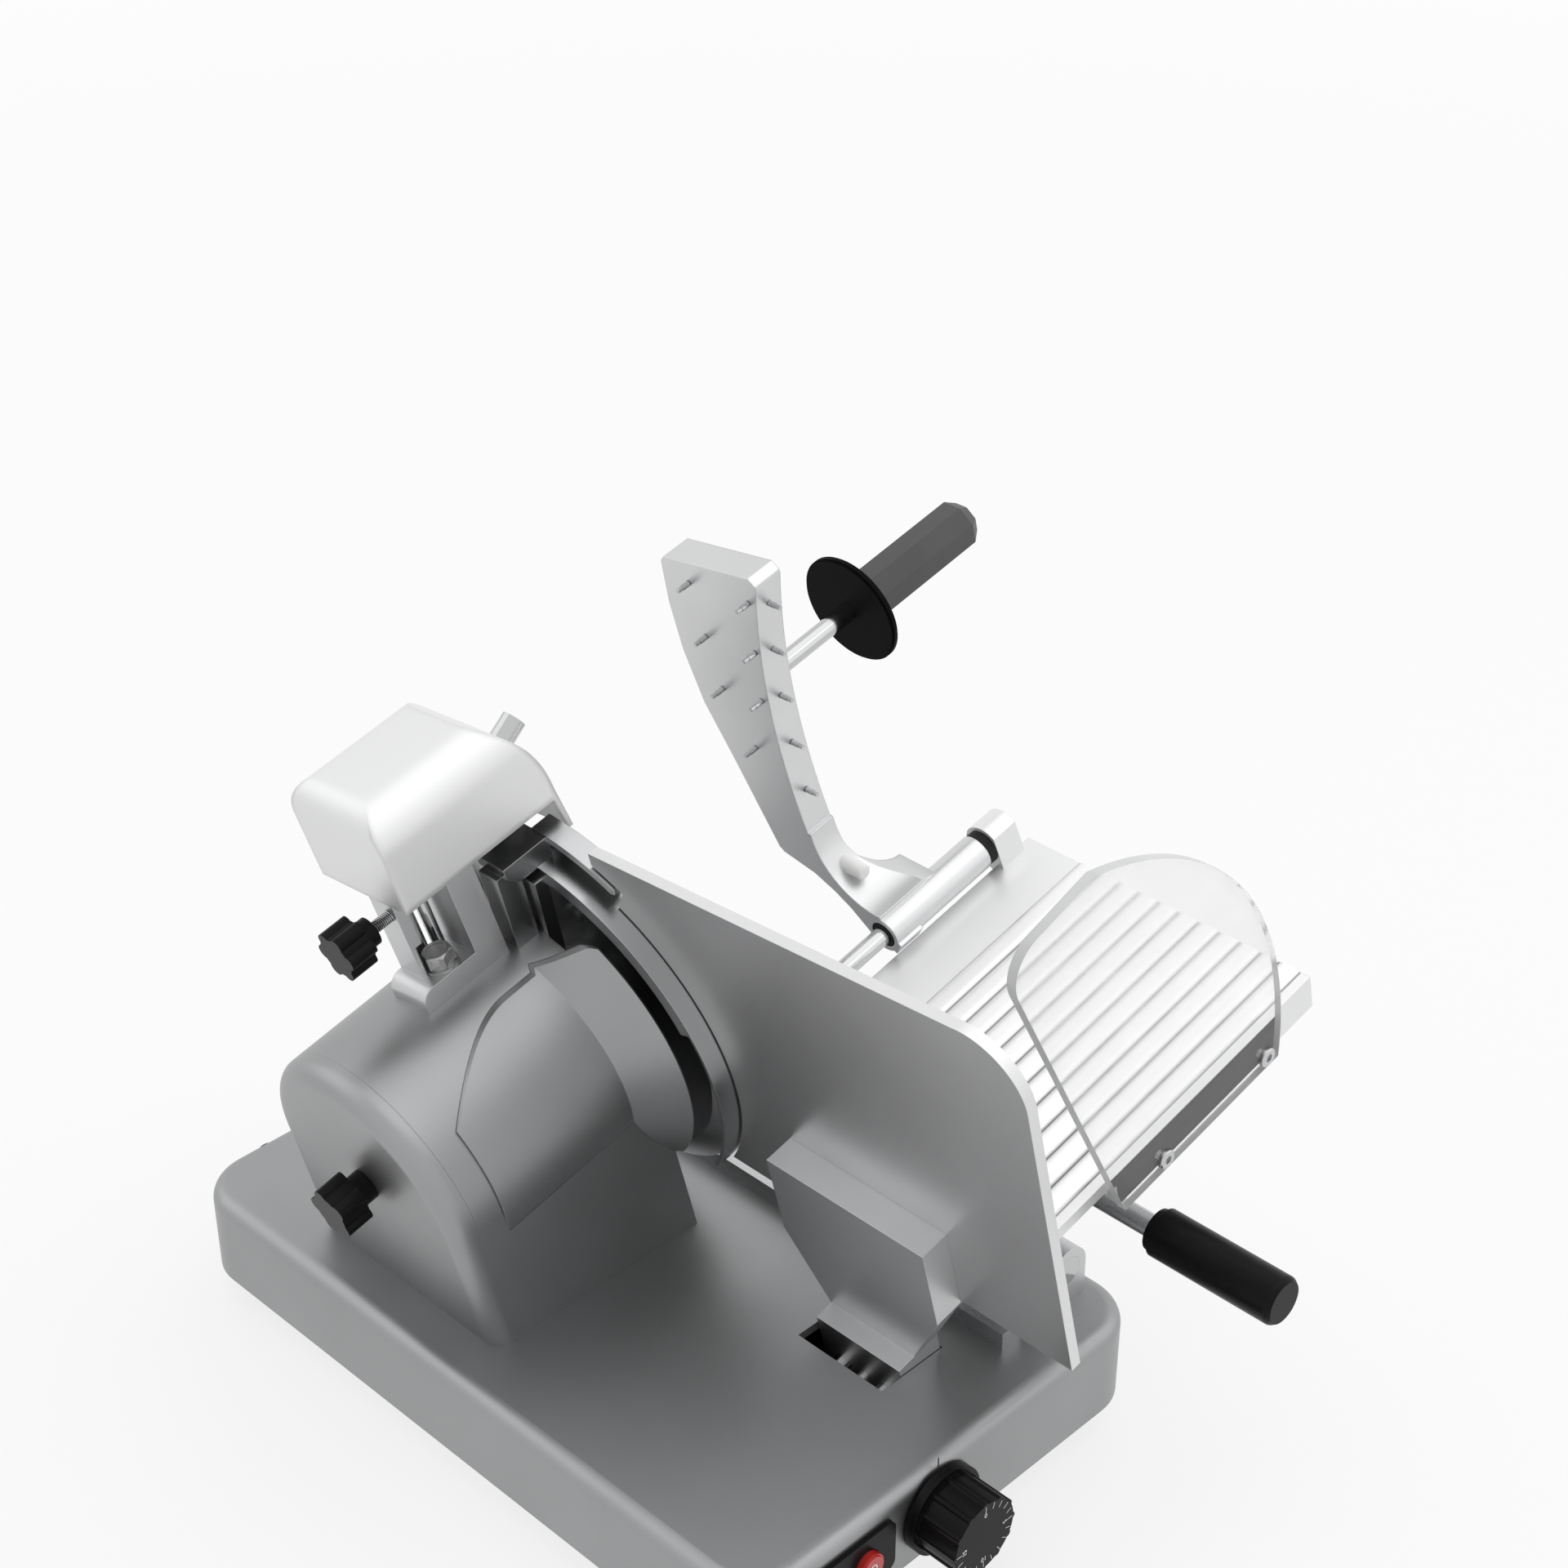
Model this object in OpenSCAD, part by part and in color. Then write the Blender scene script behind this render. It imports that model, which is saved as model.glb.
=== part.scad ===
// Gravity-feed electric food slicer: tilted blade, sliding carriage with swing pusher,
// gauge plate set by a dial, sharpener over the blade. Millimetres, Z up, table at Z = 0.
// X points to the carriage side, -Y to the operator. Inside the tilted frame the axes are
// n (across the blade, to the food), Y, and t (up in the blade's plane).

/* [Blade] */
// radius of the cutting edge
blade_r = 125; // [122:0.5:127]
// thickness of the blade's web
blade_web_t = 4; // [3.5:0.1:4.5]
// depth of the dish on the food side
blade_dish = 4; // [3.6:0.1:4.4]
// lean of the blade from the vertical
blade_tilt = 14; // [13:0.5:15]
// height of the blade's centre over the table
axis_z = 215; // [212:1:220]

/* [Base] */
// size of the base across the machine
base_w = 330; // [324:1:350]
// length of the base from operator to back
base_l = 500; // [490:1:540]
// height of the base's upper face
base_top = 80; // [78:0.5:82]
// wall of the base casting
base_wall = 6; // [5:0.5:7]
// radius of the base's upright corners
base_corner = 36; // [30:1:42]
// radius of the base's upper edge
base_edge = 10; // [8:0.5:12]
// height of the rubber feet
foot_h = 20; // [16:0.5:22]
// radius of a rubber foot
foot_r = 19; // [16:0.5:22]

/* [Drive housing] */
// outer radius of the housing round the blade axis
housing_r = 82; // [80:0.5:84]
// wall of the housing
housing_wall = 5; // [4:0.5:6]
// radius of the motor's can
motor_r = 46; // [42:0.5:48]
// radius of the blade's pulley
blade_pulley_r = 40; // [36:0.5:42]
// radius of the motor's pulley
motor_pulley_r = 18; // [16:0.5:20]
// thickness of the belt
belt_t = 3; // [2:0.1:4]

/* [Gauge] */
// thickness of the gauge plate
gauge_t = 7; // [6:0.25:8]
// end of the gauge plate on the operator side, from the blade's centre
gauge_end = 371; // [364:1:378]
// rise of the gauge plate's upper edge over the blade's centre, blade end
gauge_top_in = 147; // [146:0.5:149]
// rise of the gauge plate's upper edge over the blade's centre, operator end
gauge_top_out = 174; // [170:0.5:178]
// travel of the gauge plate, the thickest slice
gauge_travel = 15; // [10:0.5:16]

/* [Carriage] */
// length of the tray up the slope
tray_len = 255; // [252:1:262]
// width of the tray
tray_w = 214; // [210:1:220]
// thickness of the tray's floor
tray_t = 8; // [7:0.25:9]
// distance between the tray's flutes
flute_pitch = 15.1; // [14:0.1:16]
// radius of the pusher's slide rod
rod_r = 6; // [5.5:0.1:6.5]
// stroke of the carriage
carriage_travel = 270; // [250:1:280]
// radius of the carriage's rail
rail_r = 10; // [9:0.25:11]
// thickness of the clear hand guard
guard_t = 6; // [5:0.25:7]

/* [Pusher] */
// thickness of the pusher's plate
arm_t = 20; // [18:0.5:22]
// outer radius of the pusher's sleeve
sleeve_r = 12; // [11.5:0.1:12.5]
// length of the pusher's sleeve
sleeve_len = 86; // [84:0.5:87]
// length of a spike
spike_len = 13; // [10:0.5:15]
// radius of the handle's hand shield
disc_r = 36; // [32:0.5:40]
// width of the eight-sided grip across its corners
grip_w = 34; // [30:0.5:38]
// length of the grip
grip_len = 101; // [90:1:110]

/* [Sharpener] */
// turn of the sharpener about the blade's axis, to the back
sharp_turn = 8; // [7:0.25:9]
// height of the sharpener's cover over the blade's centre
cover_top = 218; // [216:0.5:222]
// wall of the sharpener's cover
cover_wall = 3; // [2.5:0.1:3.5]
// stroke of the sharpener's head
head_travel = 8; // [6:0.5:8]
// radius of the grinding stone
stone_r = 15.5; // [14:0.25:15.75]

/* [Fits] */
// radial running gap of a shaft in its hole
run_gap = 0.05; // [0.03:0.01:0.08]
// radial gap of a seated piece in its hole
seat_gap = 0.02; // [0.01:0.01:0.04]
// gap between pieces that pass each other
air_gap = 0.4; // [0.3:0.05:0.6]

/* [Hidden] */
$fn = 72;
eps = 1;
arc_steps = 16;
star_core = 0.8;
star_lobe = 0.3;
star_lobes = 5;
centre_x = 42.4;
centre_y = -121.5;

// blade and shaft
edge_t = 0.5;
bevel_w = 24;
bevel_back = 18;
web_n = -blade_dish - blade_web_t;
hub_t = 11;
hub_r = 34;
hub_n = web_n - hub_t;
spigot_r = 20;
shaft_r = 8.5;
shaft_bore_r = 5;
shaft_room = 4;
shaft_over = 2;
blade_screw_r = 3;
blade_screw_pcr = 27;
blade_screw_at = [45, 135, 225, 315];
hub_floor = 1;
blade_screw_head_r = 5.5;
blade_screw_head_t = 1.8;

// blade cover and its tie rod
cover_plate_r = blade_r - 29;
cover_plate_t = 2.2;
cover_plate_n = 1;
cover_plate_edge = 1.2;
tie_r = 4;

// housing along n
front_n = hub_n - 9;
front_wall = 8;
rear_n = front_n - 140;
rear_cover_t = 16;
rear_fillet = 12;
tie_n = rear_n - rear_cover_t - 22;
tie_knob_n = tie_n - 6;
tie_knob_t = 18;
tie_knob_r = 17;
tie_neck_r = 10;
bearing_r = 20;
bearing_t = 12;
boss_r = 30;
boss_len = 72;
motor_drop = 105;
motor_len = 90;
motor_n = front_n - front_wall - motor_len;
motor_cap = 14;
motor_step = 4;
motor_shaft_r = 7;
motor_socket = 20;
pulley_t = 16;
pulley_n = rear_n + 10;
belt_w = 14;
belt_n = pulley_n + (pulley_t - belt_w) / 2;
housing_depth = 190;

// ring guard
ring_in = blade_r + 1.5;
ring_out = blade_r + 4;
ring_mid = (ring_in + ring_out) / 2;
ring_flange_r = blade_r - 6;
ring_flange_t = 6;
ring_n = front_n + 8;
ring_from = -75;
ring_to = 157;
rim_to = 212;
band_in = ring_out + 11;
band_out = ring_out + 16;
band_n0 = -9;
band_n1 = 5;
band_web_t = 5;
band_nip = 0.3;
band_from = 50;
band_to = 117;
window_from = 67;
window_to = 91;
window_dip = 0.5;
ring_arm_w = 24;
ring_arm_in = 58;
ring_arm_r = ring_flange_r + 5;
bridge_y0 = -14;
bridge_y1 = 10;
bridge_n = -42;
bridge_low = 128;
bridge_chamfer = 8;
bridge_sink = 2;
bridge_step = 4;
post_n0 = -46;
post_n1 = -30;
ring_arms = [93, 20, -50];
ring_screw_r = 4;
ring_screw_pcr = 68;
ring_screw_head_r = 6.5;
ring_screw_head_t = 4;
ring_screw_len = 6;

// slice deflector
cowl_t = 1.6;
cowl_in = housing_r + air_gap;
cowl_r = cowl_in + cowl_t;
cowl_crease_n = front_n - 22;
cowl_end_n = front_n - 122;
cowl_lip_n = ring_n - 3;
cowl_lip_r = ring_flange_r - 11;
cowl_from = 100;
cowl_to = 218;
cowl_top = 78;
cowl_corner_n = cowl_crease_n - 3;
cowl_bend_n = -75;
cowl_bend_r = 131;
cowl_ear = [-26.5, 85.5];
cowl_ear_r = 5.5;
cowl_ear_from = 120;

// gauge plate
gauge_in = 49;
gauge_bottom = -72;
gauge_corner = 38;
gauge_cut = ring_out + 1.5;
gauge_cut_band = band_out + 1.5;
gauge_cut_phi = band_to + 2.5;
slide_y = -230;
slide_w = 66;
slide_t0 = -172;
slide_t1 = -124;
slide_len = 33;
guide_t = -155;
guide_y = 17;
guide_r = 6;
guide_n0 = -66;
guide_n1 = 22;
guide_lug = 10;
guide_lug_w = 20;
lug_drop = 12;
support_t = 20;
support_top = -14;
support_w = 120;
pin_r = 4;
pin_len = 21;

// dial, cam and buttons
dial_x = -44;
dial_z = 50;
dial_shaft_r = 5;
dial_r = 24;
dial_skirt_r = 28;
dial_len = 34;
dial_skirt_t = 6;
dial_gap = 1.5;
dial_ribs = 12;
dial_rib_r = 2.4;
dial_boss = 20;
dial_boss_r = 12;
cam_t = 10;
cam_r = 21;
cam_turn = 270;
cam_rise = 60;
cam_steps = 60;
button_r = 9;
button_len = 22;
button_travel = 3;
button_out = button_travel + 2;
button_edge = 1;
button_x = -136;
button_pitch = 32;
panel_t = 3;
panel_w = 78;
panel_h = 36;
panel_corner = 6;

// base places
base_x0 = -190;
base_y0 = -325;
base_x1 = base_x0 + base_w;
base_y1 = base_y0 + base_l;
plate_t = 2;
foot_inset = 46;
foot_taper = 3;
gland_x = -120;
gland_z = 48;
gland_r = 11;
gland_len = 20;
gland_nut = 6;
gland_neck_r = 6.6;
gland_cap_r = 8.8;
gland_bore_r = 4.4;

// carriage places
tray_n0 = 3;
tray_n1 = tray_n0 + tray_len;
tray_top = -10;
tray_y1 = -126;
tray_y0 = tray_y1 - tray_w;
flute_first = 49;
flute_w = 3;
flute_d = 1.2;
flute_edge = 10;
rim_w = 6;
rim_h = 24;
rod_y = -117;
rod_t = 2;
lug_r = 14;
lug_foot = 34;
lug_axis = [rod_y, rod_t];
lug_w = 20;
lug_near = 5;
lug_far = 10;
lug_n0 = tray_n0 + lug_near;
lug_n1 = tray_n1 - lug_far - lug_w;
stop_r = 11.5;
stop_t = 6.4;
slider_x = 108;
slider_w = 36;
slider_y0 = -262;
slider_len = 74;
rail_z = base_top + 24;
slider_z0 = base_top + 8;
slider_z1 = base_top + 40;
arm_x = 24;
rail_gap = 4;
rail_block = 24;
rail_block_w = 32;
rail_y0 = slider_y0 - rail_gap - rail_block;
rail_y1 = slider_y0 + slider_len + carriage_travel + rail_gap + rail_block;
bar_x = 58;
bar_w = 16;
bar_h = 12;
shoe_t = 6;
shoe_inset = 12;
guard_y = tray_y0 - guard_t;
guard_low = -36;
guard_tip = [17, 203];
guard_foot = [76, -36];
guard_rise = 0.117;
guard_round = 22;
guard_arc = [14, 16];
guard_arc_r = 209;
guard_screw_n = [112, 205];
guard_screw_head_t = 3;
guard_screw_t = -26;
guard_screw_r = 3;
hold_x = slider_x;
hold_z = 172;
hold_r = 7;
hold_len = 88;
hold_grip_r = 15;
hold_grip_len = 88;
hold_round = 4;
hold_plug = 30;
hold_in = 20;
lock_z = 150;
lock_r = 5;
lock_x = slider_x + arm_x / 2;
lock_in = 12;
lock_neck = 6;
lock_knob_t = 18;
lock_knob_r = 18;
arm_relief = 5;

// pusher places
stop_gap = 0.6;
arm_n = lug_n1 - stop_t - stop_gap - sleeve_len;
bush_r = 9;
bush_lip = 2.6;
bush_lip_r = 10.6;
arm_edge = [-58, 147];
arm_edge_r = 447;
gusset_r = 30;
gusset_y = -50;
neck_arc = [-115, 62];
neck_arc_r = 46;
peg_r = 5;
peg_t = 31;
peg_y0 = -94;
peg_n = 14;
peg_len = 24;
tab_turn = -150;
tab_w = 10;
tab_out = 1.5;
spike_r = 2.2;
spike_tip_r = 0.4;
spike_lift = 0.5;
spike_neck = 2;
spike_top = 228;
spike_pitch = 38;
spike_edge_pitch = 36;
spike_row_y = [-10, -14, -18, -36];
spike_side_y = -60;
stud_r = 1.6;
stud_len = 6;
handle_y = -30;
handle_t = 149;
handle_len = 77;
handle_r = 6;
handle_stud_r = 4;
disc_t = 5;
disc_n = arm_n + arm_t + handle_len;
disc_edge = 1.2;
grip_stud = 30;
grip_bevel = 8;
grip_end_r = grip_w / 2 - 5.6;
grip_turn = 22.5;

// sharpener places
foot_n0 = -112;
foot_nose = 9;
foot_n1 = -50;
foot_s0 = -17;
foot_s1 = 16;
foot_top = housing_r + 12;
column_n0 = -70;
notch_r = 146;
leg_n0 = -101;
leg_n1 = -93;
leg_s0 = -6;
pad_t = 8;
pad_len = 12;
pad_w = 12;
bolt_n = -87;
bolt_s = -6;
bolt_r = 5;
bolt_head_r = 9.8;
bolt_head_h = 7;
bolt_room = 21;
washer_r = 10.5;
washer_t = 2.2;
spring_washer_r = 9;
post_r = 4;
knob_s = 1;
post_s = 10;
posts = [-87, -76];
post_top = 200;
post_in = 10;
head_n0 = -98;
head_n1 = -68;
head_s0 = -4;
head_s1 = 20;
head_r0 = 168;
head_r1 = 196;
column_top = head_r0 - head_travel - 2;
leg_top = column_top;
beam_n1 = -8;
beam_s0 = 0;
beam_s1 = 17;
beam_r0 = 180;
guide_u0 = -19;
guide_u1 = -10;
guide_out_r = 11;
beam_r1 = 192;
cover_n0 = -105;
cover_s0 = -30;
cover_s1 = 52;
cover_low = 154;
cover_lip = 132;
cover_arc = [-61, 161];
cover_arc_r = 71;
cover_nose_n = cover_arc[0] + cover_arc_r;
cover_tip_n = 13;
cover_back_r = 18;
cover_front_round = 26;
cover_side_round = 12;
stand_r = 5;
stand_n = -60;
stand_s = 8.5;
knob_r = 16;
knob_neck = 8;
knob_neck_r = 9;
knob_n1 = -115;
knob_len = 26;
knob_r_at = 139;
thread_r = 3.5;
spin_tilt = 25;
spin_s = 8;
spin_n = 7.3;
spin_r = 181.5;
push_r = 7.5;
spin_drop = stone_r + push_r + 1.25 * air_gap;
push_out = 18;
push_in = 34;
stone_t = 8;
spindle_r = 3;
pin_over = 2;
yoke_t = 6;
burr_n = -28;
burr_r = 14;
burr_at = 148;
burr_t = 8;
burr_pin_r = 3;

function edge_y(t) = arm_edge[0] - arm_edge_r + sqrt(arm_edge_r * arm_edge_r - pow(t - arm_edge[1], 2));
function cam_spiral(p) = cam_r - gauge_travel * (360 - p) / cam_turn;
function cam_at(p) = p >= cam_rise ? cam_spiral(p) : cam_r + (cam_spiral(cam_rise) - cam_r) * p / cam_rise;

module placed() {
    translate([-centre_x, -centre_y, 0]) children();
}

module tilted() {
    placed() translate([0, 0, axis_z]) rotate([0, -blade_tilt, 0]) children();
}

module sharpened() {
    tilted() rotate([-sharp_turn, 0, 0]) children();
}

module slab_n(n0, n1) {
    translate([n0, 0, 0]) rotate([90, 0, 90]) linear_extrude(n1 - n0) children();
}

module slab_y(y0, y1) {
    translate([0, y1, 0]) rotate([90, 0, 0]) linear_extrude(y1 - y0) children();
}

module bar_n(n0, n1, r) {
    translate([n0, 0, 0]) rotate([0, 90, 0]) cylinder(h = n1 - n0, r = r);
}

module bar_y(y0, y1, r) {
    translate([0, y1, 0]) rotate([90, 0, 0]) cylinder(h = y1 - y0, r = r);
}

module sweep_n(from, to) {
    rotate([0, 90, 0]) rotate([0, 0, from + 90]) rotate_extrude(angle = to - from) children();
}

function arc(centre, r, from, to) =
    [for (i = [0 : arc_steps]) let (a = from + (to - from) * i / arc_steps) centre + r * [cos(a), sin(a)]];

module span(x0, y0, x1, y1) {
    translate([x0, y0]) square([x1 - x0, y1 - y0]);
}

module round_span(x0, y0, x1, y1, r) {
    span(x0 + r, y0, x1 - r, y1);
    span(x0, y0 + r, x1, y1 - r);
    for (x = [x0 + r, x1 - r], y = [y0 + r, y1 - r]) translate([x, y]) circle(r);
}

module soft_block(x0, y0, x1, y1, z0, z1, corner, edge) {
    translate([0, 0, z0]) linear_extrude(z1 - edge - z0) round_span(x0, y0, x1, y1, corner);
    translate([0, 0, z0]) linear_extrude(z1 - z0)
        round_span(x0 + edge, y0 + edge, x1 - edge, y1 - edge, corner - edge);
    for (x = [x0 + edge, x1 - edge]) translate([x, 0, z1 - edge]) bar_y(y0 + corner, y1 - corner, edge);
    for (y = [y0 + edge, y1 - edge]) translate([0, y, z1 - edge]) bar_n(x0 + corner, x1 - corner, edge);
    for (x = [x0 + corner, x1 - corner], y = [y0 + corner, y1 - corner]) translate([x, y, z1 - edge])
        rotate_extrude() translate([corner - edge, 0]) circle(edge);
}

module tomb(r) {
    circle(r);
    span(-r, -housing_depth, r, 0);
}

module star(r, lobes) {
    circle(r * star_core);
    for (i = [0 : lobes - 1]) rotate(i * 360 / lobes)
        translate([r * (1 - star_lobe), 0]) circle(r * star_lobe);
}

module above_base() {
    intersection() {
        children();
        placed() translate([base_x0 - base_w, base_y0, base_top]) cube([2 * base_w, base_l, 2 * axis_z]);
    }
}

module belt_loop(extra) {
    hull() {
        circle(blade_pulley_r + air_gap + extra);
        translate([0, -motor_drop]) circle(motor_pulley_r + air_gap + extra);
    }
}

module base_casting() color("#c9ccd0") difference() {
    union() {
        placed() difference() {
            soft_block(base_x0, base_y0, base_x1, base_y1, foot_h, base_top, base_corner, base_edge);
            translate([0, 0, foot_h - eps]) linear_extrude(base_top - base_wall - foot_h + eps)
                round_span(base_x0 + base_wall, base_y0 + base_wall, base_x1 - base_wall, base_y1 - base_wall,
                    base_corner - base_wall);
        }
        placed() translate([dial_x, 0, dial_z])
            bar_y(base_y0 + base_wall, base_y0 + base_wall + dial_boss, dial_boss_r);
        intersection() {
            tilted() {
                for (n = [guide_n0, guide_n1 - guide_lug], y = [-guide_y, guide_y])
                    translate([n, slide_y + y - guide_lug_w / 2, guide_t - lug_drop])
                        cube([guide_lug, guide_lug_w, motor_drop]);
            }
            placed() translate([base_x0, base_y0, foot_h])
                cube([base_w, base_l, base_top - base_edge / 2 - foot_h]);
        }
    }
    tilted() slab_n(rear_n + housing_wall, front_n - front_wall)
        span(housing_wall - housing_r, -housing_depth, housing_r - housing_wall, 0);
    tilted() translate([-slide_len - gauge_t - gauge_travel - air_gap, slide_y - slide_w / 2 - air_gap,
        slide_t0 - eps])
        cube([slide_len + gauge_travel + 2 * air_gap + eps, slide_w + 2 * air_gap, motor_drop]);
    tilted() for (y = [-guide_y, guide_y]) translate([0, slide_y + y, guide_t])
        bar_n(guide_n0 - eps, guide_n1 + eps, guide_r + seat_gap);
    placed() translate([dial_x, 0, dial_z])
        bar_y(base_y0 - eps, base_y0 + base_wall + dial_boss + eps, dial_shaft_r + run_gap);
    placed() for (i = [0, 1]) translate([button_x + i * button_pitch, 0, dial_z])
        bar_y(base_y0 - eps, base_y0 + base_wall + eps, button_r + air_gap);
    placed() translate([gland_x, 0, gland_z])
        bar_y(base_y1 - base_wall - eps, base_y1 + eps, gland_neck_r + seat_gap);
}

module base_plate() color("#8f9397") placed() translate([0, 0, foot_h - plate_t]) linear_extrude(plate_t)
    round_span(base_x0 + base_wall / 2, base_y0 + base_wall / 2, base_x1 - base_wall / 2,
        base_y1 - base_wall / 2,
        base_corner - base_wall / 2);

module rubber_feet() color("#1d1d1e") placed()
    for (x = [base_x0 + foot_inset, base_x1 - foot_inset], y = [base_y0 + foot_inset, base_y1 - foot_inset])
        translate([x, y, 0]) rotate_extrude()
            polygon([[0, 0], [foot_r - foot_taper, 0], [foot_r, foot_h - plate_t - foot_taper],
                [foot_r, foot_h - plate_t], [0, foot_h - plate_t]]);

module drive_housing() color("#b9bcc0") difference() {
    above_base() tilted() difference() {
        union() {
            difference() {
                slab_n(rear_n, front_n) tomb(housing_r);
                slab_n(rear_n - eps, front_n - front_wall) tomb(housing_r - housing_wall);
            }
            bar_n(front_n - boss_len, front_n - front_wall, boss_r);
        }
        bar_n(rear_n, front_n + eps, shaft_r + shaft_room);
        bar_n(front_n - bearing_t, front_n + eps, bearing_r + seat_gap);
        bar_n(front_n - boss_len - eps, front_n - boss_len + bearing_t, bearing_r + seat_gap);
        for (a = ring_arms) rotate([a, 0, 0]) translate([0, ring_screw_pcr, 0])
            bar_n(front_n - ring_screw_len, front_n + eps, ring_screw_r + seat_gap);
    }
    sharpened() translate([bolt_n, bolt_s, 0]) cylinder(h = housing_r, r = bolt_r + seat_gap);
}

module rear_cover() color("#b9bcc0") above_base() tilted() difference() {
    union() {
        sweep_n(0, 180) {
            span(0, rear_n - rear_cover_t, housing_r - rear_fillet, rear_n);
            span(0, rear_n - rear_cover_t + rear_fillet, housing_r, rear_n);
            translate([housing_r - rear_fillet, rear_n - rear_cover_t + rear_fillet]) intersection() {
                circle(rear_fillet);
                span(0, -rear_fillet, rear_fillet, rear_cover_t - rear_fillet - eps);
            }
        }
        translate([0, 0, -housing_depth]) linear_extrude(housing_depth) {
            span(rear_n - rear_cover_t, rear_fillet - housing_r, rear_n, housing_r - rear_fillet);
            span(rear_n - rear_cover_t + rear_fillet, -housing_r, rear_n, housing_r);
            for (y = [rear_fillet - housing_r, housing_r - rear_fillet])
                translate([rear_n - rear_cover_t + rear_fillet, y]) intersection() {
                    circle(rear_fillet - seat_gap);
                    span(-rear_fillet, -rear_fillet, rear_cover_t - rear_fillet - eps, rear_fillet);
                }
        }
    }
    bar_n(rear_n - rear_cover_t - eps, rear_n + eps, tie_r + seat_gap);
}

module motor() color("#3c4045") tilted() translate([0, 0, -motor_drop]) difference() {
    union() {
        bar_n(motor_n, front_n - front_wall, motor_r - motor_step);
        bar_n(motor_n + motor_cap, front_n - front_wall, motor_r);
    }
    bar_n(motor_n - eps, motor_n + motor_socket, motor_shaft_r + run_gap);
}

module motor_shaft() color("#a9adb2") tilted() translate([0, 0, -motor_drop])
    bar_n(pulley_n - shaft_over, motor_n + motor_socket - air_gap, motor_shaft_r);

module motor_pulley() color("#9a9ea3") tilted() translate([0, 0, -motor_drop]) difference() {
    bar_n(pulley_n, pulley_n + pulley_t, motor_pulley_r);
    bar_n(pulley_n - eps, pulley_n + pulley_t + eps, motor_shaft_r + seat_gap);
}

module drive_belt() color("#191919") tilted() slab_n(belt_n, belt_n + belt_w) difference() {
    belt_loop(belt_t);
    belt_loop(0);
}

module blade_pulley() color("#9a9ea3") tilted() difference() {
    bar_n(pulley_n, pulley_n + pulley_t, blade_pulley_r);
    bar_n(pulley_n - eps, pulley_n + pulley_t + eps, shaft_r + seat_gap);
}

module shaft_bearings() color("#8c9095") tilted()
    for (n = [front_n - bearing_t, front_n - boss_len]) difference() {
        bar_n(n, n + bearing_t, bearing_r);
        bar_n(n - eps, n + bearing_t + eps, shaft_r + run_gap);
    }

module blade_shaft() color("#a9adb2") tilted() difference() {
    union() {
        bar_n(pulley_n - shaft_over, hub_n + eps, shaft_r);
        bar_n(hub_n, web_n, hub_r);
        bar_n(web_n - eps, -blade_dish, spigot_r - seat_gap);
    }
    bar_n(pulley_n - shaft_over - eps, eps, shaft_bore_r);
    for (a = blade_screw_at) rotate([a, 0, 0]) translate([0, blade_screw_pcr, 0])
        bar_n(hub_n + hub_floor, web_n + eps, blade_screw_r + seat_gap);
}

module blade() color("#d7dade") tilted() difference() {
    sweep_n(0, 360) polygon([[spigot_r, web_n], [blade_r - bevel_back, web_n], [blade_r, -edge_t],
        [blade_r, 0],
        [blade_r - bevel_w, -blade_dish], [spigot_r, -blade_dish]]);
    for (a = blade_screw_at) rotate([a, 0, 0]) translate([0, blade_screw_pcr, 0])
        bar_n(web_n - eps, eps, blade_screw_r + seat_gap);
}

module blade_screws() color("#8f9499") tilted()
    for (a = blade_screw_at) rotate([a, 0, 0]) translate([0, blade_screw_pcr, 0]) {
        bar_n(hub_n + hub_floor, -blade_dish, blade_screw_r);
        bar_n(-blade_dish, -blade_dish + blade_screw_head_t, blade_screw_head_r);
    }

module blade_cover() color("#cfd2d5") tilted() sweep_n(0, 360)
    polygon([[0, cover_plate_n - cover_plate_t], [cover_plate_r, cover_plate_n - cover_plate_t],
        [cover_plate_r, cover_plate_n - cover_plate_edge], [cover_plate_r - cover_plate_edge, cover_plate_n],
        [0, cover_plate_n]]);

module cover_tie_rod() color("#a9adb2") tilted()
    bar_n(tie_n, cover_plate_n - cover_plate_t, tie_r);

module cover_knob() color("#161617") tilted() difference() {
    union() {
        slab_n(tie_knob_n, tie_knob_n + tie_knob_t) star(tie_knob_r, star_lobes);
        bar_n(tie_knob_n + tie_knob_t - eps, rear_n - rear_cover_t - air_gap, tie_neck_r);
    }
    bar_n(tie_n - air_gap, rear_n, tie_r + run_gap);
}

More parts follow.
